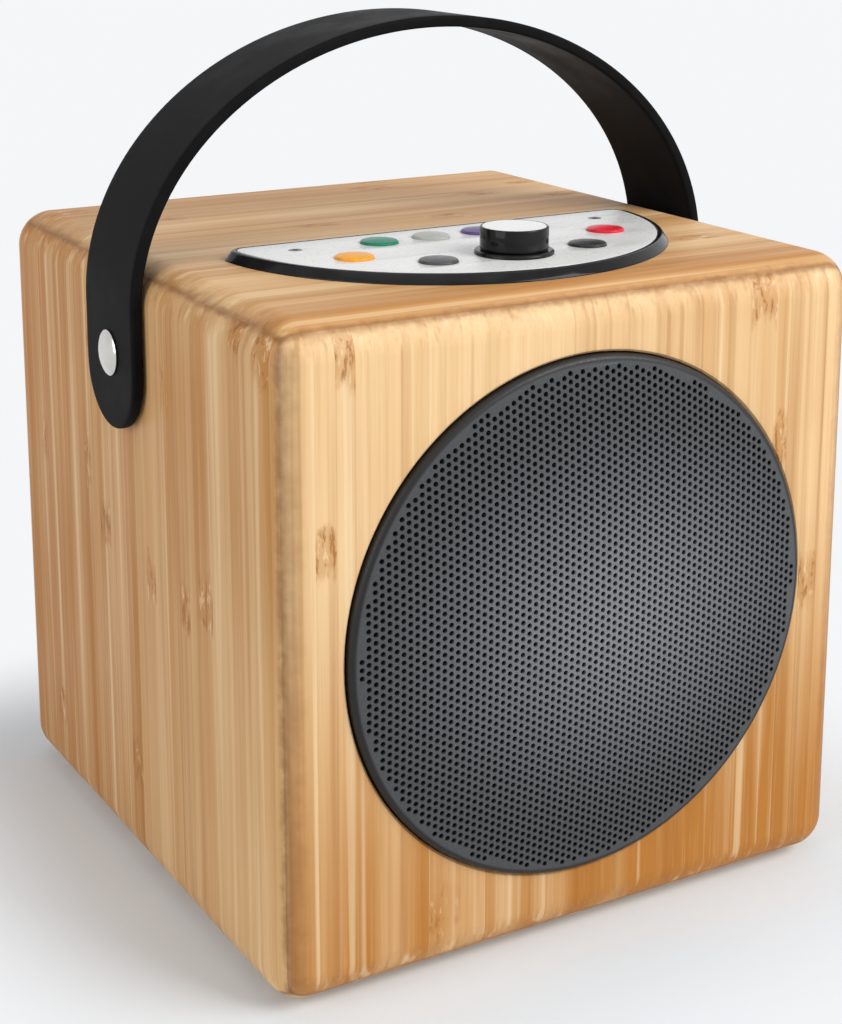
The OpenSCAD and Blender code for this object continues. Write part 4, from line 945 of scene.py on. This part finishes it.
class SPEAKER_OT_handle(bpy.types.Operator):
    """Build the strap and the domed bolts, and finish their spacers and nuts"""
    bl_idname = "speaker.handle"
    bl_label = "Handle"

    def execute(self, context):
        settings = context.scene.speaker_handle
        low, high = node_box("handle_strap")
        middle_y = (high.y + low.y) / 2
        strap = loft(strap_rings(low, high, settings.edge))
        add_piece("strap", [strap], leather(settings, (high.y - low.y) / 2, middle_y), "handle",
                  "handle_strap", angle=50.0, merge=2e-6)

        bolt_low, bolt_high = node_box("handle_bolts")
        bolt_z = (bolt_low.z + bolt_high.z) / 2
        inside = 20.2 * MM  # from the wood's outer face to the end of the shank
        profile = bolt_profile(inside + bolt_high.x - WOOD_HIGH.x)
        parts = [turned(profile, at(side * bolt_high.x, middle_y, bolt_z)
                        @ Matrix.Rotation(math.radians(90 * side), 4, "Y"), 72) for side in SIDES]
        chrome = metal("bolt_polish", (0.66, 0.64, 0.61), 0.16, scale=900.0, depth=0.004 * MM, spread=0.04)
        add_piece("bolt_domes", parts, chrome, "cabinet", "handle_bolts")
        finish_node(metal("zinc_plate", (0.62, 0.63, 0.64), 0.34), "handle_nuts", "foot_screws",
                    "driver_screws", "encoder_nut", "encoder_shaft", "magnet_top_plate", "magnet_back_plate",
                    "charge_socket")
        finish_node(plastic("spacer_nylon", (0.02, 0.02, 0.022), 0.5), "handle_spacers")
        return {"FINISHED"}


# Button panel

PANEL_CORNER_R = 3.5 * MM
PLATE_GAP = 0.1 * MM  # between the face plate and the rim round it
BUTTON_R = 5 * MM


def panel_outline(grow, radius, arc_steps=72, corner_steps=8, line_steps=10):
    """The half-round outline of the button panel about its straight edge's middle, grown by a distance."""
    corner = max(PANEL_CORNER_R + grow, 0.25 * MM)
    y = grow - corner
    x = math.sqrt((radius + grow - corner) ** 2 - y * y)
    lean = math.degrees(math.atan2(y, x))
    line = [(x - 2 * x * step / line_steps, grow) for step in range(line_steps)]
    line += arc(-x, y, corner, 90, 180 - lean, corner_steps)
    line += arc(0, 0, radius + grow, 180 - lean, 360 + lean, arc_steps)[1:-1]
    line += arc(x, y, corner, lean, 90, corner_steps)[:-1]
    return line


def screw_places():
    """Both screws of the face plate, from the frame."""
    low, high = node_box("plate_screws")
    head_r = 1.8 * MM
    return [(x, (low.y + high.y) / 2) for x in (low.x + head_r, high.x - head_r)]


def tray_parts(low, high, radius, straight, ledge):
    """The tray with its sloping rim, and a post for each screw."""
    wood, top = WOOD_HIGH.z, high.z
    floor = low.z + 1.5 * MM
    rim = ((high.x - low.x) / 2 - radius) / MM
    # How far the outline is grown, in millimetres, and the height
    profile = [(-4.8, floor), (-4.8, ledge), (0.1, ledge), (0.1, top - 0.22 * MM), (0.18, top - 0.07 * MM),
               (0.36, top), (0.95, top), (1.25, top - 0.10 * MM), (1.55, top - 0.34 * MM),
               (2.55, wood + 0.75 * MM), (2.85, wood + 0.42 * MM), (rim, wood + 0.12 * MM), (rim, wood),
               (-3.0, wood), (-3.0, low.z)]
    parts = [loft([[Vector((x, straight + y, height)) for x, y in panel_outline(grow * MM, radius)]
                   for grow, height in profile])]
    post_r, bore_r = 3 * MM, 1.05 * MM
    post_low, bore_low = floor - 0.5 * MM, ledge - 5 * MM
    post = [(0.0, post_low), (post_r, post_low), (post_r, ledge), (bore_r, ledge), (bore_r, bore_low),
            (0.0, bore_low)]
    return parts + [turned(post, at(x, y, 0), 40) for x, y in screw_places()]


def plate_holes(straight):
    """The holes of the face plate: for the buttons, the encoder's bushing and the screws."""
    button_hole_r, bushing_hole_r, screw_hole_r = BUTTON_R + 0.08 * MM, 3.55 * MM, 1.85 * MM
    spots = [(middle("button_" + colour)[:2], button_hole_r, 64) for colour in BUTTONS]
    spots.append((middle("knob")[:2], bushing_hole_r, 48))
    spots += [(place, screw_hole_r, 32) for place in screw_places()]
    return [round_hole(x, y - straight, radius, steps) for (x, y), radius, steps in spots]


def panel_screw_profile(top, ledge):
    """A small countersunk screw with a socket in its head."""
    return [(0.0, ledge - 4.9 * MM), (0.95 * MM, ledge - 4.9 * MM), (0.95 * MM, top - 1.0 * MM),
            (1.78 * MM, top - 0.18 * MM), (1.75 * MM, top - 0.04 * MM), (1.6 * MM, top), (0.85 * MM, top),
            (0.75 * MM, top - 0.08 * MM), (0.7 * MM, top - 0.55 * MM), (0.0, top - 0.6 * MM)]


class SPEAKER_OT_button_panel(bpy.types.Operator):
    """Build the tray with its sloping rim, the face plate and its screws, and finish the boards"""
    bl_idname = "speaker.button_panel"
    bl_label = "Button panel"

    def execute(self, context):
        settings = context.scene.speaker_controls
        low, high = node_box("control_tray")
        plate_low, plate_high = node_box("face_plate")
        radius = (plate_high.x - plate_low.x) / 2 + PLATE_GAP
        straight = plate_high.y + PLATE_GAP
        ledge, top = plate_low.z, plate_high.z
        gloss = plastic("gloss_black", settings.gloss, 0.14, 700.0, 0.006 * MM, 0.04, 0.2, specular=0.14)
        add_piece("panel_tray", tray_parts(low, high, radius, straight, ledge), gloss, "cabinet",
                  "control_tray", angle=28.0)
        plate = plate_solid(panel_outline(-PLATE_GAP, radius), plate_holes(straight), ledge, top,
                            settings.bevel, at(0, straight, 0))
        add_piece("face_plate_satin", [plate], plate_satin(settings), "cabinet",
                  "face_plate", angle=28.0)
        screws = [turned(panel_screw_profile(top, ledge), at(x, y, 0), 36) for x, y in screw_places()]
        add_piece("panel_screws", screws, metal("black_screw", (0.16, 0.16, 0.17), 0.35), "cabinet",
                  "plate_screws")
        laminate = plastic("board_laminate", (0.03, 0.16, 0.07), 0.35, 900.0, 0.03 * MM, 0.05, 0.6,
                           coat_weight=0.3)
        finish_node(laminate, "control_board", "main_board", "rear_board")
        return {"FINISHED"}


class SPEAKER_OT_buttons(bpy.types.Operator):
    """Build the eight domed buttons, and finish the push switches under them"""
    bl_idname = "speaker.buttons"
    bl_label = "Buttons"

    def execute(self, context):
        settings = context.scene.speaker_buttons
        flange_top = node_box("face_plate")[0].z - 0.2 * MM
        flange_low = flange_top - 0.8 * MM
        stem_r, flange_r, dome = 1.7 * MM, BUTTON_R + 0.6 * MM, 0.4 * MM
        for colour in BUTTONS:
            name = "button_" + colour
            low, high = node_box(name)
            spot = (low + high) / 2
            profile = [(0.0, low.z), (stem_r, low.z), (stem_r, flange_low), (flange_r, flange_low),
                       (flange_r, flange_top)]
            profile += soft_profile(flange_top, high.z - dome, BUTTON_R, settings.edge, dome)
            add_piece("cap_" + colour, [turned(profile, at(spot.x, spot.y, 0), 64)],
                      button_cap("cap_" + colour, getattr(settings, colour)), name, name, angle=40.0)
        finish_node(plastic("switch_housing", (0.045, 0.045, 0.05), 0.45), "button_switches")
        return {"FINISHED"}


# Volume knob

def knob_profile(radius, low, top, cap_low):
    """The knob's outside, from the recess of its silver top to its foot, and its inside, up to the hub."""
    roof, hub_low, recess_r = top - 2.2 * MM, low + 0.4 * MM, radius - 0.5 * MM
    wall_r, hub_r, bore_r = radius - 2 * MM, 5 * MM, 3.05 * MM
    return [(0.0, cap_low), (recess_r, cap_low), (recess_r, top - 0.1 * MM), (radius - 0.42 * MM, top),
            (radius - 0.35 * MM, top), (radius - 0.12 * MM, top - 0.10 * MM), (radius, top - 0.35 * MM),
            (radius, low + 0.3 * MM), (radius - 0.1 * MM, low + 0.08 * MM), (radius - 0.3 * MM, low),
            (wall_r, low), (wall_r, roof), (hub_r, roof), (hub_r, hub_low), (bore_r, hub_low),
            (bore_r, cap_low - 0.35 * MM), (0.0, cap_low - 0.35 * MM)]


class SPEAKER_OT_knob(bpy.types.Operator):
    """Build the volume knob, its silver top and its collar, and finish the encoder"""
    bl_idname = "speaker.knob"
    bl_label = "Volume knob"

    def execute(self, context):
        settings = context.scene.speaker_controls
        low, high = node_box("knob")
        spot = (low + high) / 2
        place = at(spot.x, spot.y, 0)
        radius = (high.x - low.x) / 2
        top = high.z
        cap_low = node_box("knob_cap")[0].z
        gloss = plastic("knob_gloss", settings.gloss, 0.14, 700.0, 0.004 * MM, 0.03, 0.2, specular=0.14)
        add_piece("knob_body", [turned(knob_profile(radius, low.z, top, cap_low), place, 96)], gloss,
                  "volume_knob", "knob", angle=35.0)
        cap_r = radius - 0.55 * MM
        silver = plastic("knob_top", (0.90, 0.895, 0.885), 0.22, 1600.0, 0.002 * MM, 0.04, 0.03, metallic=0.2)
        profile = [(0.0, cap_low), (cap_r, cap_low), (cap_r, top - 0.12 * MM),
                   (cap_r - 0.1 * MM, top - 0.02 * MM), (cap_r - 0.3 * MM, top), (cap_r * 0.5, top),
                   (0.0, top)]
        add_piece("knob_disc", [turned(profile, place, 96)], silver, "volume_knob",
                  "knob_cap", angle=30.0)
        low, high = node_box("knob_collar")
        outer_r, inner_r, top = (high.x - low.x) / 2, 6.4 * MM, high.z
        profile = [(inner_r, low.z), (outer_r, low.z), (outer_r, top - 0.45 * MM),
                   (outer_r - 0.12 * MM, top - 0.2 * MM), (outer_r - 0.4 * MM, top - 0.03 * MM),
                   (outer_r - 0.7 * MM, top), (inner_r, top)]
        add_piece("collar_ring", [turned(profile, place, 96, hollow=True)], gloss, "cabinet",
                  "knob_collar", angle=35.0)
        finish_node(metal("encoder_case", (0.45, 0.46, 0.47), 0.4), "volume_encoder")
        return {"FINISHED"}


# Back and underside

BEZEL_T = 2 * MM
REAR_SCREW_INSET = 4 * MM


def bezel_holes(corners):
    """The holes of the connector plate: for both sockets, the slider and the screws."""
    charge, audio, switch = (middle(name).x for name in ("charge_socket", "audio_socket", "power_switch"))
    return [
        shifted(rounded_outline(9.4 * MM, 3.8 * MM, 1.85 * MM), charge, 0),
        round_hole(audio, 0, 4.05 * MM, 48),
        shifted(rounded_outline(8.8 * MM, 3.8 * MM, 0.3 * MM), switch, 0),
        *(round_hole(x, z, 2.45 * MM, 32) for x, z in corners),
    ]


def slider_parts(place, stem_low):
    """The slider's cap with three ridges, its stem and its wide foot inside the switch."""
    parts = [
        block(4 * MM, 3 * MM, 1.5 * MM, 0.4 * MM, place),
        block(3.96 * MM, 2.96 * MM, 4.5 * MM, 0.2 * MM, place @ at(0, 0, -4.6 * MM)),
        block(8 * MM, 3 * MM, 2 * MM, 0.2 * MM, place @ at(0, 0, stem_low)),
    ]
    for ridge in (-1, 0, 1):
        spot = place @ at(ridge * 1.05 * MM, 0, 1.15 * MM)
        parts.append(block(0.45 * MM, 2.6 * MM, 0.35 * MM, 0.12 * MM, spot))
    return parts


class SPEAKER_OT_back(bpy.types.Operator):
    """Build the connector plate with its slider and screws, and finish the sockets and the back's screws"""
    bl_idname = "speaker.back"
    bl_label = "Back"

    def execute(self, context):
        low, high = node_box("rear_plate")
        face = high.y
        place = at(0, face, (low.z + high.z) / 2) @ Matrix.Rotation(math.radians(-90), 4, "X")
        width, height = high.x - low.x, high.z - low.z
        corners = [(x * (width / 2 - REAR_SCREW_INSET), z * (height / 2 - REAR_SCREW_INSET))
                   for x in SIDES for z in SIDES]
        outline = rounded_outline(width, height, 4 * MM)
        parts = [plate_solid(outline, bezel_holes(corners), -BEZEL_T, 0.0, 0.35 * MM, place)]
        post_x, post_r, post_low = width / 2 - 12 * MM, 2 * MM, low.y - face
        post = [(0.0, post_low), (post_r, post_low), (post_r, -BEZEL_T / 2), (0.0, -BEZEL_T / 2)]
        parts += [turned(post, place @ at(x * post_x, 0, 0), 32) for x in SIDES]
        bezel = plastic("connector_plate", (0.022, 0.022, 0.024), 0.42, 1500.0, 0.05 * MM)
        add_piece("connector_bezel", parts, bezel, "cabinet", "rear_plate")

        steel = metal("black_screws", (0.13, 0.13, 0.14), 0.38)
        profile = [(0.0, -7.4 * MM), (1.3 * MM, -7.4 * MM), (1.3 * MM, -1.0 * MM), (2.4 * MM, -1.0 * MM),
                   (2.4 * MM, -0.35 * MM), (2.1 * MM, -0.08 * MM), (1.6 * MM, 0.0), (1.1 * MM, 0.0),
                   (1.0 * MM, -0.6 * MM), (0.0, -0.65 * MM)]
        screws = [turned(profile, place @ at(x, z, 0), 36) for x, z in corners]
        add_piece("connector_screws", screws, steel, "cabinet", "rear_plate_screws")
        finish_node(steel, "back_screws")
        finish_node(plastic("socket_plastic", (0.03, 0.03, 0.034), 0.35), "audio_socket", "power_switch")

        slider_low = node_box("power_slider")[0].y
        slider = slider_parts(place @ at(middle("power_slider").x, 0, 0), slider_low - face)
        white = plastic("slider_white", (0.74, 0.74, 0.72), 0.42, 2000.0, 0.02 * MM, 0.04, 0.05)
        add_piece("switch_slider", slider, white, "power_slider", "power_slider")
        return {"FINISHED"}


class SPEAKER_OT_feet(bpy.types.Operator):
    """Build the four rubber feet"""
    bl_idname = "speaker.feet"
    bl_label = "Feet"

    def execute(self, context):
        low, high = node_box("feet")
        radius, well_r, bore_r = 7 * MM, 3.2 * MM, 1.55 * MM
        seat = low.z + 1.6 * MM
        profile = [(well_r, low.z + 0.25 * MM), (well_r + 0.25 * MM, low.z), (radius - 0.5 * MM, low.z),
                   (radius - 0.12 * MM, low.z + 0.14 * MM), (radius, low.z + 0.5 * MM), (radius, high.z),
                   (bore_r, high.z), (bore_r, seat), (well_r, seat)]
        parts = [turned(profile, at(x, y, 0), 64, hollow=True)
                 for x in (low.x + radius, high.x - radius) for y in (low.y + radius, high.y - radius)]
        rubber = plastic("foot_rubber", (0.028, 0.028, 0.03), 0.72, 2000.0, 0.08 * MM)
        add_piece("rubber_feet", parts, rubber, "cabinet", "feet")
        return {"FINISHED"}


class SPEAKER_OT_inside(bpy.types.Operator):
    """Finish the driver, the boards' parts, the battery and the wires inside the box"""
    bl_idname = "speaker.inside"
    bl_label = "Inside"

    def execute(self, context):
        finish_node(metal("basket_steel", (0.09, 0.09, 0.10), 0.45), "driver_basket")
        finish_node(metal("solder_tags", (0.72, 0.56, 0.26), 0.35), "driver_terminals")
        finish_node(plastic("surround_rubber", (0.02, 0.02, 0.021), 0.6), "surround")
        finish_node(plastic("cone_paper", (0.035, 0.035, 0.038), 0.65, 1200.0, 0.15 * MM), "cone", "dust_cap")
        finish_node(metal("copper_winding", (0.72, 0.33, 0.15), 0.3, (1.0, 6.0, 1.0)), "voice_coil")
        finish_node(woven("spider_cloth", (0.50, 0.33, 0.11), 0.6 * MM, (0.66, 0.47, 0.2)), "spider")
        finish_node(plastic("ferrite", (0.03, 0.03, 0.033), 0.5, 1600.0, 0.1 * MM), "magnet")
        finish_node(plastic("board_parts", (0.50, 0.50, 0.46), 0.4), "board_parts")
        finish_node(plastic("holder_plastic", (0.02, 0.02, 0.022), 0.45), "battery_holder")
        finish_node(plastic("cell_sleeve", (0.06, 0.22, 0.40), 0.3, 600.0, 0.02 * MM, 0.05, 0.2),
                    "battery_cells")
        finish_node(plastic("wire_jacket", (0.20, 0.035, 0.035), 0.45), "inner_wires")
        return {"FINISHED"}


# Stage

def area_lamp(name, place, target_z, side, power):
    """A square lamp that shines at a point above the frame's origin."""
    data = bpy.data.lights.new(name, "AREA")
    data.shape = "RECTANGLE"
    data.size, data.size_y = side, side
    data.energy = power
    lamp = bpy.data.objects.new(name, data)
    lamp.location = place
    lamp.rotation_mode = "QUATERNION"
    lamp.rotation_quaternion = (Vector((0, 0, target_z)) - Vector(place)).to_track_quat("-Z", "Y")
    bpy.context.scene.collection.objects.link(lamp)


def photo_camera(settings):
    """The camera at the photograph's viewing angle."""
    turn, tilt = settings.azimuth, settings.elevation
    back = Vector((math.sin(turn) * math.cos(tilt), -math.cos(turn) * math.cos(tilt), math.sin(tilt)))
    right = (-back).cross(Vector((0, 0, 1))).normalized()
    up = right.cross(-back)
    data = bpy.data.cameras.new("photo_camera")
    data.sensor_width = SENSOR
    data.lens = settings.focus
    data.shift_y = settings.shift
    data.clip_start, data.clip_end = 0.01, 30.0
    camera = bpy.data.objects.new("photo_camera", data)
    bpy.context.scene.collection.objects.link(camera)
    camera.rotation_mode = "QUATERNION"
    camera.rotation_quaternion = Matrix((right, up, back)).transposed().to_quaternion()
    aim = Vector((0, WOOD_MID.y, 85 * MM))
    camera.location = aim + right * settings.side + up * settings.lift + back * settings.distance
    bpy.context.scene.camera = camera


def studio_air(settings):
    """Even light from all around, which looks like the backdrop."""
    world = bpy.data.worlds.new("studio_air")
    bpy.context.scene.world = world
    world.use_nodes = True
    air = Shader(world.node_tree)
    light = air.glow("ShaderNodeBackground", (1.0, 1.0, 1.0), settings.air)
    backdrop = air.glow("ShaderNodeBackground", settings.backdrop, 1.0)
    result = air.tree.nodes.new("ShaderNodeOutputWorld")
    air.put(result.inputs["Surface"], air.blend(air.seen_directly(), light, backdrop))


def floor_paper(settings):
    """Pale paper that turns into the backdrop away from the box."""
    paper = Finish("floor_paper", settings.floor, 0.8)
    fine = paper.grain(300.0, 2.0, 0.5)
    dull = tuple(channel * 0.99 for channel in settings.floor)
    paper.set(**{"Base Color": paper.mix(fine.ramp(0.3, 0.7), settings.floor, dull)})
    x, y, _ = paper.xyz()
    half = (WOOD_HIGH - WOOD_LOW) / 2
    beside = (abs(x - WOOD_MID.x) - half.x).high(0.0)
    before = (abs(y - WOOD_MID.y) - half.y).high(0.0)
    away = (beside * beside + before * before) ** 0.5
    far = away.ramp(settings.shadow_start, settings.shadow_end, settings.veil, 1.0)
    paper.put(paper.output.inputs["Surface"], paper.blend(
        far * paper.seen_directly(), Value(paper, paper.surface.outputs[0]),
        paper.glow("ShaderNodeEmission", settings.backdrop, 1.0)))
    return paper.material


class SPEAKER_OT_studio(bpy.types.Operator):
    """Build the camera, the floor, the lamps and the pale surroundings"""
    bl_idname = "speaker.studio"
    bl_label = "Studio"

    def execute(self, context):
        settings = context.scene.speaker_studio
        settings = context.scene.speaker_studio
        context.scene.view_settings.view_transform = "Standard"
        photo_camera(settings)
        studio_air(settings)
        reach = 4.0
        mesh = bpy.data.meshes.new("floor")
        corners = [(-reach, -reach, 0), (reach, -reach, 0), (reach, reach, 0), (-reach, reach, 0)]
        mesh.from_pydata(corners, [], [(0, 1, 2, 3)])
        floor = bpy.data.objects.new("floor", mesh)
        context.scene.collection.objects.link(floor)
        mesh.materials.append(floor_paper(settings))
        area_lamp("key_lamp", (0.75, -1.05, 0.95), 0.09, 0.9, settings.key)
        area_lamp("top_lamp", (0.05, 0.05, 1.25), 0.1, 1.1, settings.top)
        area_lamp("fill_lamp", (-1.2, -0.25, 0.55), 0.09, 0.8, settings.fill)
        return {"FINISHED"}


STEPS = (
    SPEAKER_OT_studio, SPEAKER_OT_cabinet, SPEAKER_OT_grille, SPEAKER_OT_handle, SPEAKER_OT_button_panel,
    SPEAKER_OT_buttons, SPEAKER_OT_knob, SPEAKER_OT_back, SPEAKER_OT_feet, SPEAKER_OT_inside,
)
SETTINGS = {
    "speaker_bamboo": BambooSettings,
    "speaker_grille": GrilleSettings,
    "speaker_handle": HandleSettings,
    "speaker_controls": ControlSettings,
    "speaker_buttons": ButtonSettings,
    "speaker_studio": StudioSettings,
}


class SPEAKER_PT_dressing(bpy.types.Panel):
    """Lists the steps that dress the speaker, and their settings"""
    bl_idname = "SPEAKER_PT_dressing"
    bl_label = "Bamboo speaker"
    bl_space_type = "VIEW_3D"
    bl_region_type = "UI"
    bl_category = "Speaker"

    def draw(self, context):
        layout = self.layout
        for step in STEPS:
            layout.operator(step.bl_idname)
        for name, group in SETTINGS.items():
            box = layout.box()
            for setting in group.__annotations__:
                box.prop(getattr(context.scene, name), setting)


def register():
    for group in (*SETTINGS.values(), *STEPS, SPEAKER_PT_dressing):
        bpy.utils.register_class(group)
    for name, group in SETTINGS.items():
        setattr(bpy.types.Scene, name, PointerProperty(type=group))


def unregister():
    for name in SETTINGS:
        delattr(bpy.types.Scene, name)
    for group in (SPEAKER_PT_dressing, *reversed(STEPS), *SETTINGS.values()):
        bpy.utils.unregister_class(group)


def main():
    register()
    bpy.ops.speaker.studio()
    bpy.ops.speaker.cabinet()
    bpy.ops.speaker.grille()
    bpy.ops.speaker.handle()
    bpy.ops.speaker.button_panel()
    bpy.ops.speaker.buttons()
    bpy.ops.speaker.knob()
    bpy.ops.speaker.back()
    bpy.ops.speaker.feet()
    bpy.ops.speaker.inside()


if __name__ == "__main__":
    main()
